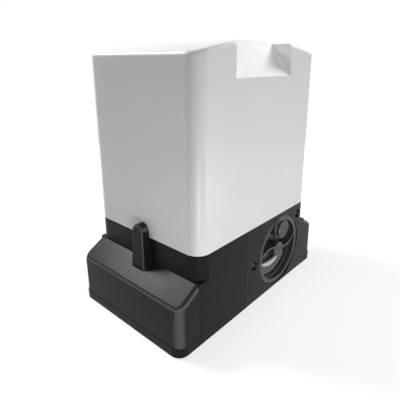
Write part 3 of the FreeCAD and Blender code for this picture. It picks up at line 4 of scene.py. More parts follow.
import bmesh
import bpy
from bpy.props import FloatProperty, FloatVectorProperty, PointerProperty
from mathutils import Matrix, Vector


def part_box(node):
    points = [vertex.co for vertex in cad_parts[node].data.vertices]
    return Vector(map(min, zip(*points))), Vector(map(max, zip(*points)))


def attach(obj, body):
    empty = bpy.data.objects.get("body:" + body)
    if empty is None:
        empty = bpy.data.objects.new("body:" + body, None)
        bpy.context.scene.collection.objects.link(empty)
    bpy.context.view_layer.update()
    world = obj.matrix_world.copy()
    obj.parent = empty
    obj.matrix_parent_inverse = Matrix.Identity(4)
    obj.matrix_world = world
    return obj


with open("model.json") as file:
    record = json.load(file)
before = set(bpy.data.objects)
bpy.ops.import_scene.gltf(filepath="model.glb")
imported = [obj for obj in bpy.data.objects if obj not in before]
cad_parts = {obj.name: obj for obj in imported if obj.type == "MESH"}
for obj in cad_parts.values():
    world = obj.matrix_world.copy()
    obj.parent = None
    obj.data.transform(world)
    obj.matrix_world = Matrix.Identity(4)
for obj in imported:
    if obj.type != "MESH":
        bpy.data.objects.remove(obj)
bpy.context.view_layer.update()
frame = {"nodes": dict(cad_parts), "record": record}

bl_info = {
    "name": "Sliding gate motor",
    "version": (1, 0, 0),
    "blender": (4, 5, 0),
    "location": "3D View > Sidebar > Gate Motor",
    "description": "Finishes, small pieces and studio for a gate operator with a domed hood",
    "category": "Object",
}

MM = 0.001
WHITE = (1.0, 1.0, 1.0, 1.0)
BLACK = (0.0, 0.0, 0.0, 1.0)
WAVE_REPEATS = 3.15           # bands that a wave texture shows per unit of its scale, nearly
BEVEL_ANGLE = 32.0            # degrees; flatter edges stay as they are

# Hand disc, in millimetres: radii and heights from its axis, depths behind the panel's face
PAD_RECESS = 4.5              # label pad, on which the label's back lies
DISC_FLOOR = 15.2             # floor of the dish
DISC_INNER_R = 41.1           # inside of the rim
LIP_RECESS = 1.2              # front of the disc's rim
LIP_BACK = 3.6
LIP_BORE_R = 40.2
LEDGE_RECESS = 8.5            # step inside the rim
LEDGE_W = 1.6
WALL_RECESS = 1.6             # grip wall
WALL_HALF_T = 1.1
LENS_RECESS = 9.0             # floor between the grip wall and the label pad
LOCK_RISE = 29.9              # lock above the disc's axis
COLLAR_R = 12.3
COLLAR_BORE_R = 11.3
COLLAR_RECESS = 0.6
COLLAR_BACK = 2.4
RING_SEGMENTS = 72

# Lines on the hand disc: start, middle and end of an arc, each as right and up from its axis
WALL_LEFT = ((-41.4, 1.3), (-22.5, 8.0), (-6.0, 4.0))
WALL_RIGHT = ((6.0, 0.5), (20.0, -1.4), (39.8, 10.0))
LENS_FOOT = ((6.0, -5.0), (-18.0, -9.0), (-41.0, -4.5))
ARC_STEPS = 14

# Resistors on the control board, in millimetres
RESISTOR_PROFILE = ((-3.2, 0.3), (-3.2, 1.0), (-2.7, 1.3), (-2.1, 1.3), (-1.6, 1.0),
                    (1.6, 1.0), (2.1, 1.3), (2.7, 1.3), (3.2, 1.0), (3.2, 0.3))      # along, radius
RESISTOR_RISE = 1.7           # axis over the board
LEAD_START = 3.1              # from a resistor's middle, inside its end
LEAD_SPAN = 4.8               # from a resistor's middle to the bend of its lead
LEAD_R = 0.35
LEAD_SINK = 0.3               # end of a lead in the board
RESISTOR_SIDES = 14
LEAD_SIDES = 8
ROW_ACROSS = range(-40, 45, 12)
# Middle of each resistor: across from the board's middle and up from its foot
RESISTOR_PLACES = ([(across, up) for up in (31, 111) for across in ROW_ACROSS]
                   + [(across, up) for across in (-40, -26) for up in (63, 68, 73)])

SLOT_MATERIALS = {}           # material slot of the record: name of its material, filled by main()


def colour(hex_value):
    """Linear colour with full alpha from an sRGB hex value such as #F2F1EE."""
    channels = []
    for i in (1, 3, 5):
        value = int(hex_value[i:i + 2], 16) / 255
        if value <= 0.04045:
            channels.append(value / 12.92)
        else:
            channels.append(((value + 0.055) / 1.055) ** 2.4)
    return (*channels, 1.0)


def scaled(linear, factor):
    """The same colour with its linear values multiplied."""
    return (*[min(1.0, c * factor) for c in linear[:3]], 1.0)


def add_node(tree, kind, values=None, links=None, **settings):
    """Adds a shader node, sets its settings and input values, and links its inputs, by name or number."""
    node = tree.nodes.new(kind)
    for name, value in settings.items():
        setattr(node, name, value)
    for name, value in (values or {}).items():
        node.inputs[name].default_value = value
    for name, output in (links or {}).items():
        tree.links.new(output, node.inputs[name])
    return node


def start_material(name, metallic=0.0, roughness=0.5, ior=None, specular=None, coat=0.0):
    """New node material with a bare Principled shader; gives (material, tree, shader, place)."""
    material = bpy.data.materials.new(name)
    material.use_nodes = True
    tree = material.node_tree
    tree.nodes.clear()
    shader = add_node(tree, "ShaderNodeBsdfPrincipled", {"Metallic": metallic, "Roughness": roughness})
    if ior is not None:
        shader.inputs["IOR"].default_value = ior
    if specular is not None:
        shader.inputs["Specular IOR Level"].default_value = specular
    if coat:
        shader.inputs["Coat Weight"].default_value = coat
        shader.inputs["Coat Roughness"].default_value = 0.12
    add_node(tree, "ShaderNodeOutputMaterial", links={"Surface": shader.outputs["BSDF"]})
    place = add_node(tree, "ShaderNodeTexCoord").outputs["Object"]
    return material, tree, shader, place


def per_metre(size_mm):
    """Noise scale that gives features of about this size."""
    return 1.0 / (size_mm * MM)


def mottle(tree, place, low, high, size_mm, detail=3.0):
    """Cloudy pattern stretched to run from low to high colour; gives the colour output."""
    noise = add_node(tree, "ShaderNodeTexNoise", {"Scale": per_metre(size_mm), "Detail": detail},
                     {"Vector": place})
    ramp = add_node(tree, "ShaderNodeValToRGB", links={"Fac": noise.outputs["Fac"]})
    ramp.color_ramp.elements[0].position = 0.32
    ramp.color_ramp.elements[0].color = low
    ramp.color_ramp.elements[1].position = 0.68
    ramp.color_ramp.elements[1].color = high
    return ramp.outputs["Color"]


def roughness_field(tree, shader, place, low, high, size_mm):
    """Roughness that wanders between two values over patches of the given size."""
    noise = add_node(tree, "ShaderNodeTexNoise", {"Scale": per_metre(size_mm), "Detail": 4.0},
                     {"Vector": place})
    span = add_node(tree, "ShaderNodeMapRange",
                    {"From Min": 0.3, "From Max": 0.7, "To Min": low, "To Max": high},
                    {"Value": noise.outputs["Fac"]})
    tree.links.new(span.outputs["Result"], shader.inputs["Roughness"])


def grain(tree, shader, place, size_mm, depth_mm, detail=2.0, stretch=None):
    """Fine bumps of the given size and depth; a stretch below 1 along an axis draws them out to lines."""
    # real spark grain and cutter lines are about 0.1 mm wide, too fine to show, so they are drawn coarser
    if stretch:
        place = add_node(tree, "ShaderNodeMapping", {"Scale": stretch}, {"Vector": place}).outputs["Vector"]
    noise = add_node(tree, "ShaderNodeTexNoise", {"Scale": per_metre(size_mm), "Detail": detail},
                     {"Vector": place})
    bump = add_node(tree, "ShaderNodeBump", {"Distance": depth_mm * MM}, {"Height": noise.outputs["Fac"]})
    tree.links.new(bump.outputs["Normal"], shader.inputs["Normal"])


def ridged(tree, shader, pattern, low_hex, high_hex, depth_mm):
    """Colour and height from one pattern: low and dark, high and pale."""
    ramp = add_node(tree, "ShaderNodeValToRGB", links={"Fac": pattern})
    ramp.color_ramp.elements[0].color = colour(low_hex)
    ramp.color_ramp.elements[1].color = colour(high_hex)
    tree.links.new(ramp.outputs["Color"], shader.inputs["Base Color"])
    bump = add_node(tree, "ShaderNodeBump", {"Distance": depth_mm * MM}, {"Height": pattern})
    tree.links.new(bump.outputs["Normal"], shader.inputs["Normal"])


def painted_edge_highlight(tree, flat, edge_highlight_hex, width_mm):
    """Colour that turns paler within a narrow band along sharp edges: a painted highlight, where the
    rounded edges would catch the lamps.
    """
    surface = add_node(tree, "ShaderNodeNewGeometry").outputs["Normal"]
    rounded = add_node(tree, "ShaderNodeBevel", {"Radius": width_mm * MM}, samples=6).outputs["Normal"]
    match = add_node(tree, "ShaderNodeVectorMath", links={0: surface, 1: rounded}, operation="DOT_PRODUCT")
    band = add_node(tree, "ShaderNodeMapRange", {"From Min": 0.99, "From Max": 0.86},
                    {"Value": match.outputs["Value"]})
    mix = add_node(tree, "ShaderNodeMix", {7: colour(edge_highlight_hex)}, {0: band.outputs["Result"], 6: flat},
                   data_type="RGBA")
    return mix.outputs[2]


def painted_round_highlights(tree, flat, round_highlight_hex):
    """Colour that turns paler on the large rounded ridges and upright corners: a painted highlight, set by
    which way the surface faces.
    """
    facing = add_node(tree, "ShaderNodeTexCoord").outputs["Normal"]
    axes = add_node(tree, "ShaderNodeSeparateXYZ", links={"Vector": facing})
    # painted highlight: paler where the normal lies between upright and flat, and on upright corners
    ridge = add_node(tree, "ShaderNodeValToRGB", links={"Fac": axes.outputs["Z"]})
    stops = ridge.color_ramp.elements
    stops[0].position, stops[0].color = 0.08, BLACK       # upright walls
    stops[1].position, stops[1].color = 0.8, BLACK        # slope and top
    stops.new(0.36).color = WHITE                         # between them, the rounded ridge
    product = add_node(tree, "ShaderNodeMath", links={0: axes.outputs["X"], 1: axes.outputs["Y"]},
                       operation="MULTIPLY")
    slant = add_node(tree, "ShaderNodeMath", links={0: product.outputs[0]}, operation="ABSOLUTE")
    corner = add_node(tree, "ShaderNodeMapRange", {"From Min": 0.2, "From Max": 0.48, "To Max": 0.7},
                      {"Value": slant.outputs[0]})
    either = add_node(tree, "ShaderNodeMath",
                      links={0: ridge.outputs["Color"], 1: corner.outputs["Result"]}, operation="MAXIMUM")
    mix = add_node(tree, "ShaderNodeMix", {7: colour(round_highlight_hex)}, {0: either.outputs[0], 6: flat},
                   data_type="RGBA")
    return mix.outputs[2]


def moulded(name, hex_value, grain_mm, depth_mm, rough, vary, ior=1.5, specular=0.5, edge_highlight_hex=None):
    """Injection-moulded plastic: spark-eroded grain, faint flow clouds, soft gloss, and a painted highlight
    along sharp edges if asked.
    """
    material, tree, shader, place = start_material(name, ior=ior, specular=specular)
    base = colour(hex_value)
    clouds = mottle(tree, place, scaled(base, 1 - vary), scaled(base, 1 + vary), size_mm=38)
    # painted highlight along sharp edges
    if edge_highlight_hex:
        clouds = painted_edge_highlight(tree, clouds, edge_highlight_hex, width_mm=0.9)
    tree.links.new(clouds, shader.inputs["Base Color"])
    roughness_field(tree, shader, place, rough - 0.05, rough + 0.06, size_mm=9)
    grain(tree, shader, place, grain_mm, depth_mm)
    return material


def machined(name, hex_value, axis, rough, vary=0.08, line_mm=0.8):
    """Turned or ground metal: fine lines square to the axis, patches of duller surface."""
    material, tree, shader, place = start_material(name, metallic=1.0)
    base = colour(hex_value)
    clouds = mottle(tree, place, scaled(base, 1 - vary), scaled(base, 1 + vary), size_mm=14)
    tree.links.new(clouds, shader.inputs["Base Color"])
    roughness_field(tree, shader, place, rough - 0.06, rough + 0.08, size_mm=6)
    stretch = [1.0 if letter == axis else 0.02 for letter in "XYZ"]
    grain(tree, shader, place, line_mm, depth_mm=0.06, detail=5.0, stretch=stretch)
    return material


def hood_asa():
    """ASA, injection moulded and UV stable: white, satin, with an almost invisible fine grain."""
    looks = bpy.context.scene.gate_motor_looks
    material, tree, shader, place = start_material("moulded_white_asa", ior=1.52, specular=0.45)
    base = looks.hood_colour
    clouds = mottle(tree, place, scaled(base, 0.975), scaled(base, 1.0), size_mm=60)
    tree.links.new(clouds, shader.inputs["Base Color"])
    rough = looks.hood_roughness
    roughness_field(tree, shader, place, rough - 0.04, rough + 0.05, size_mm=12)
    grain(tree, shader, place, size_mm=0.9, depth_mm=0.006)
    return material


def painted_casting():
    """Die-cast aluminium under baked polyester powder: charcoal, fine orange peel, a faint painted
    highlight along sharp edges.
    """
    looks = bpy.context.scene.gate_motor_looks
    material, tree, shader, place = start_material("powder_coated_die_casting", ior=1.5, specular=0.08)
    base = looks.casting_colour
    clouds = mottle(tree, place, scaled(base, 0.9), scaled(base, 1.0), size_mm=45)
    # faint painted highlight along sharp edges
    tree.links.new(painted_edge_highlight(tree, clouds, "#2E2E30", width_mm=0.8), shader.inputs["Base Color"])
    rough = looks.casting_roughness
    roughness_field(tree, shader, place, rough - 0.05, rough + 0.07, size_mm=16)
    grain(tree, shader, place, size_mm=1.3, depth_mm=0.014, detail=3.0)
    return material


def cover_nylon():
    """Glass-filled nylon of side covers and panel: charcoal, finely sparked, with painted highlights on the
    rounded ridges, upright corners and sharp edges.
    """
    looks = bpy.context.scene.gate_motor_looks
    material, tree, shader, place = start_material("moulded_grey_nylon", ior=1.53, specular=0.07)
    base = looks.cover_colour
    clouds = mottle(tree, place, scaled(base, 0.93), scaled(base, 1.0), size_mm=30)
    # painted highlights on rounded ridges and upright corners, then along sharp edges
    rounds = painted_round_highlights(tree, clouds, "#68686A")
    tree.links.new(painted_edge_highlight(tree, rounds, "#5C5C5E", width_mm=0.7), shader.inputs["Base Color"])
    rough = looks.cover_roughness
    roughness_field(tree, shader, place, rough - 0.02, rough + 0.02, size_mm=8)
    grain(tree, shader, place, size_mm=0.8, depth_mm=0.01, detail=3.0)
    return material


def cast_aluminium():
    """Unpainted die-cast aluminium: grey, slightly frosty skin with flow patches."""
    material, tree, shader, place = start_material("raw_die_cast_aluminium", metallic=0.85)
    clouds = mottle(tree, place, colour("#8E9092"), colour("#B4B6B8"), size_mm=11, detail=5.0)
    tree.links.new(clouds, shader.inputs["Base Color"])
    roughness_field(tree, shader, place, 0.42, 0.6, size_mm=5)
    grain(tree, shader, place, size_mm=1.1, depth_mm=0.08, detail=6.0)
    return material


def stacked_sheet():
    """Punched electrical steel in a stack: dark grey, with a line at each sheet, drawn 3 mm apart."""
    # the real sheets are 0.5 mm thick, too fine to show
    material, tree, shader, place = start_material("stacked_electrical_steel", metallic=0.7)
    bands = add_node(tree, "ShaderNodeTexWave",
                     {"Scale": per_metre(3.0) / WAVE_REPEATS, "Distortion": 0.4, "Detail": 2.0},
                     {"Vector": place}, bands_direction="Z")
    ridged(tree, shader, bands.outputs["Fac"], "#3A3D42", "#7C7F84", depth_mm=0.15)
    roughness_field(tree, shader, place, 0.38, 0.58, size_mm=4)
    return material


def enamelled_copper():
    """Varnished copper winding: amber to dark copper, glossy, with strands drawn 2.4 mm apart."""
    # the real wire is under 1 mm, too fine to show
    material, tree, shader, place = start_material("varnished_copper_wire", metallic=0.8, coat=0.4)
    strands = add_node(tree, "ShaderNodeTexWave",
                       {"Scale": per_metre(2.4) / WAVE_REPEATS, "Distortion": 2.2, "Detail": 3.0},
                       {"Vector": place}, wave_type="RINGS", rings_direction="Z")
    ridged(tree, shader, strands.outputs["Fac"], "#5A2A12", "#C0703A", depth_mm=0.3)
    roughness_field(tree, shader, place, 0.22, 0.4, size_mm=3)
    return material


def solder_mask_board():
    """Glass-epoxy circuit board under green solder mask, glossy, with raised tracks 2.6 mm apart."""
    material, tree, shader, place = start_material("green_circuit_board", ior=1.55, coat=0.3)
    turned = add_node(tree, "ShaderNodeMapping", {"Rotation": (0.0, math.radians(90), 0.0)},
                      {"Vector": place})
    # the joints between the bricks are the tracks
    tracks = add_node(tree, "ShaderNodeTexBrick",
                      {"Scale": 1.0, "Mortar Size": 0.35 * MM, "Brick Width": 11 * MM,
                       "Row Height": 2.6 * MM},
                      {"Vector": turned.outputs["Vector"]})
    ridged(tree, shader, tracks.outputs["Fac"], "#0E5A2C", "#1F8A4A", depth_mm=0.08)
    roughness_field(tree, shader, place, 0.3, 0.42, size_mm=7)
    return material


def label_plate():
    """Coated aluminium plate, left bare: pale grey satin with a faint brushed direction."""
    material, tree, shader, place = start_material("bare_label_plate", ior=1.5, specular=0.4)
    clouds = mottle(tree, place, colour("#C9C9C6"), colour("#D6D6D3"), size_mm=7)
    tree.links.new(clouds, shader.inputs["Base Color"])
    roughness_field(tree, shader, place, 0.34, 0.46, size_mm=3)
    grain(tree, shader, place, size_mm=0.5, depth_mm=0.02, stretch=(0.05, 1.0, 1.0))
    return material


def finishes():
    """One finish per material slot of the record, made once."""
    return {
        "hood_plastic": hood_asa(),
        "cast_body": painted_casting(),
        "grey_plastic": cover_nylon(),
        # black ABS of the hand disc: reads dark grey and semi-matt, with a painted highlight along its
        # edges
        "disc_plastic": moulded("moulded_black_abs", "#434345", grain_mm=0.7, depth_mm=0.01, rough=0.34,
                                vary=0.1, specular=0.3, edge_highlight_hex="#B4B4B6"),
        "label_plate": label_plate(),
        # nylon of the dust cap: dark grey, with a stronger sheen than the covers and a painted highlight
        # along its edges
        "cap_plastic": moulded("moulded_cap_nylon", "#2E2E30", grain_mm=0.7, depth_mm=0.01, rough=0.34,
                               vary=0.08, specular=0.3, edge_highlight_hex="#8A8A8C"),
        # carbon steel, turned and ground: bright, with fine lines round the axis
        "bright_steel": machined("turned_carbon_steel", "#B9BABC", axis="Y", rough=0.26),
        # zinc plating: bluish grey, cloudy, duller than bare steel
        "zinc_steel": machined("zinc_plated_steel", "#A9ADB2", axis="Y", rough=0.36, vary=0.14,
                               line_mm=1.4),
        # tin bronze of the wheel rim: brown gold with cutter marks
        "bronze": machined("hobbed_tin_bronze", "#B08A4E", axis="Y", rough=0.3, vary=0.1),
        "raw_casting": cast_aluminium(),
        "lamination": stacked_sheet(),
        "copper": enamelled_copper(),
        # nitrile rubber: dull black with a dusty bloom
        "black_rubber": moulded("moulded_nitrile_rubber", "#191919", grain_mm=1.2, depth_mm=0.04,
                                rough=0.72, vary=0.14, ior=1.52),
        "circuit_board": solder_mask_board(),
        # PBT of the parts on the board and of the sensors: black, fine satin
        "black_plastic": moulded("moulded_black_pbt", "#161618", grain_mm=0.6, depth_mm=0.02, rough=0.42,
                                 vary=0.1),
        # polyamide terminals: traffic green, slightly shiny
        "green_plastic": moulded("moulded_green_polyamide", "#2E8F4E", grain_mm=0.6, depth_mm=0.015,
                                 rough=0.4, vary=0.07),
        # polypropylene: milky off-white, waxy
        "pale_plastic": moulded("moulded_polypropylene", "#D9D7CE", grain_mm=0.8, depth_mm=0.02,
                                rough=0.44, vary=0.05),
        # deep-drawn aluminium cans: bright, with fine rings round them
        "bright_can": machined("drawn_aluminium_can", "#C6C8CB", axis="X", rough=0.28, vary=0.06),
        # free-cutting brass: pale yellow, turned
        "lock_brass": machined("turned_brass", "#C8A458", axis="Y", rough=0.28),
    }


def smooth_edges(obj, width_mm):
    """Welds split seams, then rounds the hard edges a little, as modifiers."""
    weld = obj.modifiers.new("weld_seams", "WELD")
    weld.merge_threshold = 0.002 * MM
    bevel = obj.modifiers.new("edge_round", "BEVEL")
    bevel.width = width_mm * MM
    bevel.segments = 2
    bevel.limit_method = "ANGLE"
    bevel.angle_limit = math.radians(BEVEL_ANGLE)
    normals = obj.modifiers.new("even_normals", "WEIGHTED_NORMAL")
    normals.keep_sharp = True


def repaint(nodes):
    """Gives CAD nodes the finish of their material slot."""
    slots = {part["node"]: part["material_slot"] for part in frame["record"]["subparts"]}
    for name in nodes:
        material = bpy.data.materials[SLOT_MATERIALS[slots[name]]]
        mesh = frame["nodes"][name].data
        mesh.materials.clear()
        mesh.materials.append(material)


# CAD nodes by group
GROUPS = {
    "hood": ["hood", "hood_seal"],
    "casting": ["base_casting", "cable_grommet", "oil_plug", "earth_screw", "limit_sensor"],
    "covers": ["left_side_cover", "right_side_cover", "release_panel", "panel_screws"],
    "release": ["release_disc", "disc_label", "lock_cylinder", "lock_cap", "lock_cap_pin", "release_screw",
                "spindle_clip", "draw_spindle", "cross_pin", "clutch_dog"],
    "drive": ["worm_wheel", "wheel_hub", "output_shaft", "pinion", "pinion_key", "pinion_washer",
              "pinion_bolt", "front_bearing", "rear_bearing", "bearing_circlip", "shaft_seal", "gear_cover",
              "gear_cover_screws"],
    "motor": ["worm_shaft", "rotor_core", "encoder_disc", "encoder_sensor", "foot_bearing", "worm_bearing",
              "motor_bearing", "stator_core", "stator_windings", "motor_lower_shield", "motor_upper_shield",
              "motor_bolts"],
    "electrics": ["board_holder", "control_board", "terminal_blocks", "relays", "board_capacitors",
                  "fuse_holder", "processor", "run_capacitor", "capacitor_clip", "transformer_core",
                  "transformer_coil"],
}

# Width of the rounding of the CAD nodes whose edges show, in millimetres
EDGE_WIDTHS = {"hood": 0.5, "base_casting": 0.6, "left_side_cover": 0.5, "right_side_cover": 0.5,
               "release_panel": 0.9, "release_disc": 0.5, "disc_label": 0.12, "pinion": 0.25,
               "motor_lower_shield": 0.6, "motor_upper_shield": 0.6, "transformer_core": 0.4,
               "transformer_coil": 0.8, "board_holder": 0.4, "relays": 0.5, "terminal_blocks": 0.3,
               "panel_screws": 0.2, "run_capacitor": 0.3}


class GateMotorLooks(bpy.types.PropertyGroup):
    """Colours and finishes of the outer pieces."""

    hood_colour: FloatVectorProperty(
        name="Hood colour", description="Moulded hood, linear colour", subtype="COLOR", size=4,
        min=0.0, max=1.0, default=colour("#F2F2F2"))
    hood_roughness: FloatProperty(
        name="Hood roughness", description="Satin of the hood", subtype="FACTOR", min=0.0, max=1.0,
        default=0.34)
    casting_colour: FloatVectorProperty(
        name="Casting colour", description="Powder coat on the casting, linear colour", subtype="COLOR",
        size=4, min=0.0, max=1.0, default=colour("#1D1D1E"))
    casting_roughness: FloatProperty(
        name="Casting roughness", description="Dullness of the powder coat", subtype="FACTOR",
        min=0.0, max=1.0, default=0.36)
    cover_colour: FloatVectorProperty(
        name="Cover colour", description="Side covers and release panel, linear colour", subtype="COLOR",
        size=4, min=0.0, max=1.0, default=colour("#242425"))
    cover_roughness: FloatProperty(
        name="Cover roughness", description="Dullness of the covers", subtype="FACTOR",
        min=0.0, max=1.0, default=0.28)


class GateMotorStudio(bpy.types.PropertyGroup):
    """Lamps, floor and camera."""

    key_power: FloatProperty(
        name="Key power", description="Soft box above and behind, for the sheen on slopes", subtype="POWER",
        default=12.0, min=0.0)
    top_power: FloatProperty(
        name="Top power", description="Large lamp above the front", subtype="POWER", default=3.5, min=0.0)
    front_power: FloatProperty(
        name="Front power", description="Low lamp in front, right of the camera", subtype="POWER",
        default=0.5, min=0.0)
    corner_power: FloatProperty(
        name="Corner power", description="Low lamp that faces the near upright corner", subtype="POWER",
        default=0.37, min=0.0)
    roof_power: FloatProperty(
        name="Roof power", description="Lamp overhead, for the roof and its rounded edges", subtype="POWER",
        default=1.2, min=0.0)
    recess_power: FloatProperty(
        name="Recess power", description="Lamp high on the right, for the slanted recess in the hood",
        subtype="POWER", default=5.2, min=0.0)
    world_strength: FloatProperty(
        name="World strength", description="Even light from all round", default=0.05, min=0.0)
    focal_length: FloatProperty(
        name="Focal length", description="Camera lens in millimetres", default=33.303, min=1.0)
    floor_radius: FloatProperty(
        name="Floor radius", description="Size of the round floor", subtype="DISTANCE", default=0.9)


def mesh_piece(name, bm, slot, body, edge_mm):
    """New object from a bmesh in the finish of a slot; it rides on a body and its edges are rounded."""
    mesh = bpy.data.meshes.new(name)
    bmesh.ops.recalc_face_normals(bm, faces=bm.faces)
    bm.to_mesh(mesh)
    bm.free()
    mesh.materials.append(bpy.data.materials[SLOT_MATERIALS[slot]])
    piece = bpy.data.objects.new(name, mesh)
    bpy.context.scene.collection.objects.link(piece)
    smooth_edges(piece, edge_mm)
    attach(piece, body)
    return piece


def arc_through(start, middle, end):
    """Points on the arc from start through middle to end."""
    (ax, ay), (bx, by), (cx, cy) = start, middle, end
    d = 2 * (ax * (by - cy) + bx * (cy - ay) + cx * (ay - by))
    a2, b2, c2 = ax * ax + ay * ay, bx * bx + by * by, cx * cx + cy * cy
    ux = (a2 * (by - cy) + b2 * (cy - ay) + c2 * (ay - by)) / d
    uy = (a2 * (cx - bx) + b2 * (ax - cx) + c2 * (bx - ax)) / d
    radius = math.hypot(ax - ux, ay - uy)
    first = math.atan2(ay - uy, ax - ux)
    turn = math.remainder(math.atan2(cy - uy, cx - ux) - first, 2 * math.pi)
    through = math.remainder(math.atan2(by - uy, bx - ux) - first, 2 * math.pi)
    if turn * through < 0:
        turn -= math.copysign(2 * math.pi, turn)
    angles = [first + turn * i / ARC_STEPS for i in range(ARC_STEPS + 1)]
    return [(ux + radius * math.cos(angle), uy + radius * math.sin(angle)) for angle in angles]


def disc_place():
    """X and Z of the hand disc's axis and Y of the panel's face in front of it, in metres."""
    low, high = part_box("release_disc")
    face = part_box("disc_label")[1][1] - PAD_RECESS * MM
    return (low[0] + high[0]) / 2, (low[2] + high[2]) / 2, face


def on_disc(outline, front, back):
    """Solid of an outline, in millimetres from the disc's axis, between two depths behind the face."""
    x, z, face = disc_place()
    bm = bmesh.new()
    foot = bm.faces.new([bm.verts.new((x + u * MM, face + front * MM, z + w * MM)) for u, w in outline])
    grown = bmesh.ops.extrude_face_region(bm, geom=[foot])
    moved = [item for item in grown["geom"] if isinstance(item, bmesh.types.BMVert)]
    bmesh.ops.translate(bm, verts=moved, vec=(0.0, (back - front) * MM, 0.0))
    return bm


def join_rings(bm, ring, after):
    """Faces between two closed rings of as many vertices."""
    for i in range(len(ring)):
        j = (i + 1) % len(ring)
        bm.faces.new((ring[i], ring[j], after[j], after[i]))


def ring_on_disc(bore_r, outer_r, front, back, rise=0.0):
    """Ring round an axis above the disc's own, between two depths behind the panel's face."""
    x, z, face = disc_place()
    bm = bmesh.new()
    rows = []
    for radius, depth in ((bore_r, front), (outer_r, front), (outer_r, back), (bore_r, back)):
        row = []
        for i in range(RING_SEGMENTS):
            angle = 2 * math.pi * i / RING_SEGMENTS
            row.append(bm.verts.new((x + radius * MM * math.cos(angle), face + depth * MM,
                                     z + (rise + radius * math.sin(angle)) * MM)))
        rows.append(row)
    for row, after in zip(rows, rows[1:] + rows[:1]):
        join_rings(bm, row, after)
    return bm


def grip_wall():
    """S-shaped wall across the hand disc, through its hub."""
    line = arc_through(*WALL_LEFT) + arc_through(*WALL_RIGHT)
    upper = [(u, w + WALL_HALF_T) for u, w in line]
    lower = [(u, w - WALL_HALF_T) for u, w in reversed(line)]
    bm = on_disc(upper + lower, WALL_RECESS, DISC_FLOOR)
    return mesh_piece("grip_wall", bm, "disc_plastic", "hand_disc", edge_mm=0.35)


def grip_lens():
    """Shallow floor between the grip wall and the label pad."""
    bm = on_disc(arc_through(*WALL_LEFT) + arc_through(*LENS_FOOT), LENS_RECESS, DISC_FLOOR)
    return mesh_piece("grip_lens", bm, "disc_plastic", "hand_disc", edge_mm=0.2)


def disc_ledge():
    """Step inside the hand disc's rim."""
    bm = ring_on_disc(DISC_INNER_R - LEDGE_W, DISC_INNER_R, LEDGE_RECESS, DISC_FLOOR)
    return mesh_piece("disc_ledge", bm, "disc_plastic", "hand_disc", edge_mm=0.3)


def disc_lip():
    """Front of the hand disc's rim, brought close to the panel's face."""
    low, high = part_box("release_disc")
    outer_r = (high[0] - low[0]) / 2 / MM
    bm = ring_on_disc(LIP_BORE_R, outer_r, LIP_RECESS, LIP_BACK)
    return mesh_piece("disc_lip", bm, "disc_plastic", "hand_disc", edge_mm=0.4)


def lock_collar():
    """Plated collar round the lock's boss, behind the dust cap."""
    bm = ring_on_disc(COLLAR_BORE_R, COLLAR_R, COLLAR_RECESS, COLLAR_BACK, rise=LOCK_RISE)
    return mesh_piece("lock_collar", bm, "zinc_steel", "hand_disc", edge_mm=0.25)


def tube_ring(bm, centre, radius, along, sides):
    """Ring of vertices round a point, square to Y or to X; values in millimetres."""
    ring = []
    for i in range(sides):
        angle = 2 * math.pi * i / sides
        a, b = radius * math.cos(angle), radius * math.sin(angle)
        step = (a, 0.0, b) if along == "Y" else (0.0, a, b)
        ring.append(bm.verts.new([(c + d) * MM for c, d in zip(centre, step)]))
    return ring


def tube(bm, rings):
    """Closed solid through rings in order."""
    for ring, after in zip(rings, rings[1:]):
        join_rings(bm, ring, after)
    bm.faces.new(rings[0])
    bm.faces.new(rings[-1])


def resistor(bodies, leads, face, y, z):
    """Axial resistor along Y, with both leads bent down to the board's face; values in millimetres."""
    x = face + RESISTOR_RISE
    tube(bodies, [tube_ring(bodies, (x, y + along, z), radius, "Y", RESISTOR_SIDES)
                  for along, radius in RESISTOR_PROFILE])
    for side in (-1, 1):
        bend = y + side * LEAD_SPAN
        tube(leads, [tube_ring(leads, (x, y + side * LEAD_START, z), LEAD_R, "Y", LEAD_SIDES),
                     tube_ring(leads, (x, bend, z), LEAD_R, "Y", LEAD_SIDES)])
        tube(leads, [tube_ring(leads, (x + LEAD_R, bend, z), LEAD_R, "X", LEAD_SIDES),
                     tube_ring(leads, (face - LEAD_SINK, bend, z), LEAD_R, "X", LEAD_SIDES)])


def board_resistors():
    """Rows of resistors soldered to the control board."""
    low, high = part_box("control_board")
    face, middle, foot = high[0] / MM, (low[1] + high[1]) / 2 / MM, low[2] / MM
    bodies, leads = bmesh.new(), bmesh.new()
    for across, up in RESISTOR_PLACES:
        resistor(bodies, leads, face, middle + across, foot + up)
    mesh_piece("resistor_bodies", bodies, "pale_plastic", "operator", edge_mm=0.1)
    mesh_piece("resistor_leads", leads, "bright_steel", "operator", edge_mm=0.05)


def dress(group):
    """Repaints a group of CAD nodes and rounds the edges of those that show."""
    repaint(GROUPS[group])
    for name in GROUPS[group]:
        if name in EDGE_WIDTHS:
            smooth_edges(frame["nodes"][name], EDGE_WIDTHS[name])


class GATE_OT_hood(bpy.types.Operator):
    """Finish the hood and its seal"""

    bl_idname = "gate_motor.hood"
    bl_label = "Hood"

    def execute(self, context):
        dress("hood")
        return {"FINISHED"}


class GATE_OT_casting(bpy.types.Operator):
    """Finish the cast body and the small pieces on it"""

    bl_idname = "gate_motor.casting"
    bl_label = "Cast body"

    def execute(self, context):
        dress("casting")
        return {"FINISHED"}


class GATE_OT_covers(bpy.types.Operator):
    """Finish the side covers and the release panel"""

    bl_idname = "gate_motor.covers"
    bl_label = "Covers"

    def execute(self, context):
        dress("covers")
        return {"FINISHED"}


class GATE_OT_release(bpy.types.Operator):
    """Finish the hand release"""

    bl_idname = "gate_motor.release"
    bl_label = "Hand release"

    def execute(self, context):
        dress("release")
        grip_wall()
        grip_lens()
        disc_ledge()
        disc_lip()
        lock_collar()
        return {"FINISHED"}


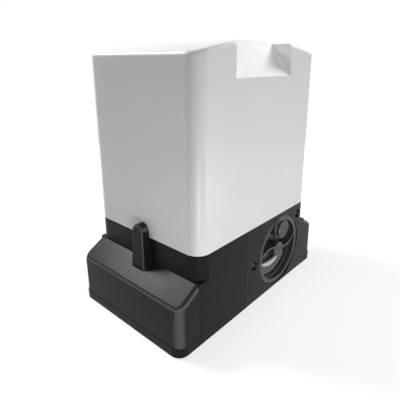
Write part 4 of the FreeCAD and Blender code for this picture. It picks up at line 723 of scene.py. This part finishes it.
class GATE_OT_drive(bpy.types.Operator):
    """Finish the wheel, output shaft and pinion"""

    bl_idname = "gate_motor.drive"
    bl_label = "Drive"

    def execute(self, context):
        dress("drive")
        return {"FINISHED"}


class GATE_OT_motor(bpy.types.Operator):
    """Finish the motor"""

    bl_idname = "gate_motor.motor"
    bl_label = "Motor"

    def execute(self, context):
        dress("motor")
        return {"FINISHED"}


class GATE_OT_electrics(bpy.types.Operator):
    """Finish the electric parts on the deck"""

    bl_idname = "gate_motor.electrics"
    bl_label = "Electrics"

    def execute(self, context):
        dress("electrics")
        board_resistors()
        return {"FINISHED"}


CAMERA_PLACE = (-337.69 * MM, -294.75 * MM, 279.38 * MM)
CAMERA_YAW = math.radians(48.77)      # forward, turned from +Y towards +X
CAMERA_PITCH = math.radians(17.13)    # downwards
CAMERA_SHIFT = (-0.0181, -0.0623)
LAMP_TARGET = (0.0, 0.0, 0.15)        # middle of the object
GLOW_START = 0.25                     # metres from the floor's middle, where it starts to whiten
GLOW_END = 0.9                        # share of the floor's radius, where it is white
FLOOR_GLOW = 0.62                     # its own light in the middle, for the camera and reflections alone

# Lamps: name, which is also that of its power, place, width and height in metres
LAMPS = (("roof", (-0.05, 0.03, 1.29), (0.28, 0.28)),
         ("key", (-0.3, 0.85, 1.05), (0.4, 0.4)),
         ("top", (-0.1, -1.1, 1.05), (0.45, 0.45)),
         ("recess", (0.95, -0.28, 0.93), (0.6, 0.6)),
         ("front", (0.1, -0.45, 0.03), (0.3, 0.1)),
         ("corner", (-0.3, -0.33, 0.03), (0.12, 0.05)))


def area_lamp(name, place, size, power):
    """Soft rectangular lamp that faces the object's middle."""
    data = bpy.data.lights.new(name, "AREA")
    data.energy = power
    data.shape = "RECTANGLE"
    data.size, data.size_y = size
    lamp = bpy.data.objects.new(name, data)
    lamp.location = place
    lamp.rotation_mode = "QUATERNION"
    lamp.rotation_quaternion = (Vector(LAMP_TARGET) - Vector(place)).to_track_quat("-Z", "Y")
    lamp.visible_camera = False
    bpy.context.scene.collection.objects.link(lamp)


def seen_rays(tree):
    """1 for camera, glossy and transmission rays, 0 for the rays that light the object."""
    rays = add_node(tree, "ShaderNodeLightPath").outputs
    direct = add_node(tree, "ShaderNodeMath", links={0: rays["Is Camera Ray"], 1: rays["Is Glossy Ray"]},
                      operation="MAXIMUM")
    every = add_node(tree, "ShaderNodeMath", links={0: direct.outputs[0], 1: rays["Is Transmission Ray"]},
                     operation="MAXIMUM")
    return every.outputs[0]


def studio_world(strength):
    """Even grey surround that looks white to the camera and in reflections."""
    world = bpy.data.worlds.new("studio")
    bpy.context.scene.world = world
    world.use_nodes = True
    tree = world.node_tree
    tree.nodes.clear()
    lighting = add_node(tree, "ShaderNodeBackground", {"Color": WHITE, "Strength": strength})
    seen = add_node(tree, "ShaderNodeBackground", {"Color": WHITE, "Strength": 1.0})
    mix = add_node(tree, "ShaderNodeMixShader",
                   links={"Fac": seen_rays(tree), 1: lighting.outputs[0], 2: seen.outputs[0]})
    add_node(tree, "ShaderNodeOutputWorld", links={"Surface": mix.outputs[0]})


def studio_floor(radius):
    """Round pale floor under the foot; it keeps the object's shadow and whitens towards its rim."""
    bm = bmesh.new()
    bmesh.ops.create_circle(bm, cap_ends=True, segments=96, radius=radius)
    mesh = bpy.data.meshes.new("studio_floor")
    bm.to_mesh(mesh)
    bm.free()
    floor = bpy.data.objects.new("studio_floor", mesh)
    bpy.context.scene.collection.objects.link(floor)
    material, tree, shader, place = start_material("pale_studio_floor", roughness=0.9, specular=0.0)
    shader.inputs["Base Color"].default_value = colour("#C4C4C3")
    distance = add_node(tree, "ShaderNodeVectorMath", links={0: place}, operation="LENGTH")
    glow = add_node(tree, "ShaderNodeMapRange",
                    {"From Min": GLOW_START, "From Max": radius * GLOW_END, "To Min": FLOOR_GLOW},
                    {"Value": distance.outputs["Value"]})
    seen = add_node(tree, "ShaderNodeMath", links={0: glow.outputs["Result"], 1: seen_rays(tree)},
                    operation="MULTIPLY")
    shader.inputs["Emission Color"].default_value = WHITE
    tree.links.new(seen.outputs[0], shader.inputs["Emission Strength"])
    mesh.materials.append(material)


def photo_camera(focal_length):
    """Camera where the photograph was taken from."""
    data = bpy.data.cameras.new("photo_camera")
    data.sensor_width = 36.0
    data.lens = focal_length
    data.shift_x, data.shift_y = CAMERA_SHIFT
    camera = bpy.data.objects.new("photo_camera", data)
    camera.location = CAMERA_PLACE
    forward = Vector((math.sin(CAMERA_YAW) * math.cos(CAMERA_PITCH),
                      math.cos(CAMERA_YAW) * math.cos(CAMERA_PITCH), -math.sin(CAMERA_PITCH)))
    camera.rotation_mode = "QUATERNION"
    camera.rotation_quaternion = forward.to_track_quat("-Z", "Y")
    bpy.context.scene.collection.objects.link(camera)
    bpy.context.scene.camera = camera


class GATE_OT_stage(bpy.types.Operator):
    """Set up the floor, the lamps, the surround and the camera"""

    bl_idname = "gate_motor.stage"
    bl_label = "Studio"

    def execute(self, context):
        studio = context.scene.gate_motor_studio
        context.scene.view_settings.view_transform = "Standard"
        photo_camera(studio.focal_length)
        studio_world(studio.world_strength)
        studio_floor(studio.floor_radius)
        for name, place, size in LAMPS:
            area_lamp(name + "_lamp", place, size, getattr(studio, name + "_power"))
        return {"FINISHED"}


class GATE_PT_panel(bpy.types.Panel):
    """Lists the pieces of the gate motor and the studio"""

    bl_label = "Gate Motor"
    bl_idname = "GATE_PT_panel"
    bl_space_type = "VIEW_3D"
    bl_region_type = "UI"
    bl_category = "Gate Motor"

    def draw(self, context):
        for group in (context.scene.gate_motor_looks, context.scene.gate_motor_studio):
            for name in group.__annotations__:
                self.layout.prop(group, name)
        for operator in PIECE_OPERATORS + (GATE_OT_stage,):
            self.layout.operator(operator.bl_idname)


PIECE_OPERATORS = (GATE_OT_hood, GATE_OT_casting, GATE_OT_covers, GATE_OT_release, GATE_OT_drive,
                   GATE_OT_motor, GATE_OT_electrics)
CLASSES = (GateMotorLooks, GateMotorStudio) + PIECE_OPERATORS + (GATE_OT_stage, GATE_PT_panel)


def register():
    """Registers the classes and gives the scene its two groups of settings."""
    for cls in CLASSES:
        bpy.utils.register_class(cls)
    bpy.types.Scene.gate_motor_looks = PointerProperty(type=GateMotorLooks)
    bpy.types.Scene.gate_motor_studio = PointerProperty(type=GateMotorStudio)


def unregister():
    """Takes away what register() added."""
    del bpy.types.Scene.gate_motor_looks
    del bpy.types.Scene.gate_motor_studio
    for cls in reversed(CLASSES):
        bpy.utils.unregister_class(cls)


def main():
    """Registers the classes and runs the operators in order."""
    register()
    SLOT_MATERIALS.update({slot: material.name for slot, material in finishes().items()})
    bpy.ops.gate_motor.hood()
    bpy.ops.gate_motor.casting()
    bpy.ops.gate_motor.covers()
    bpy.ops.gate_motor.release()
    bpy.ops.gate_motor.drive()
    bpy.ops.gate_motor.motor()
    bpy.ops.gate_motor.electrics()
    bpy.ops.gate_motor.stage()


if __name__ == "__main__":
    main()
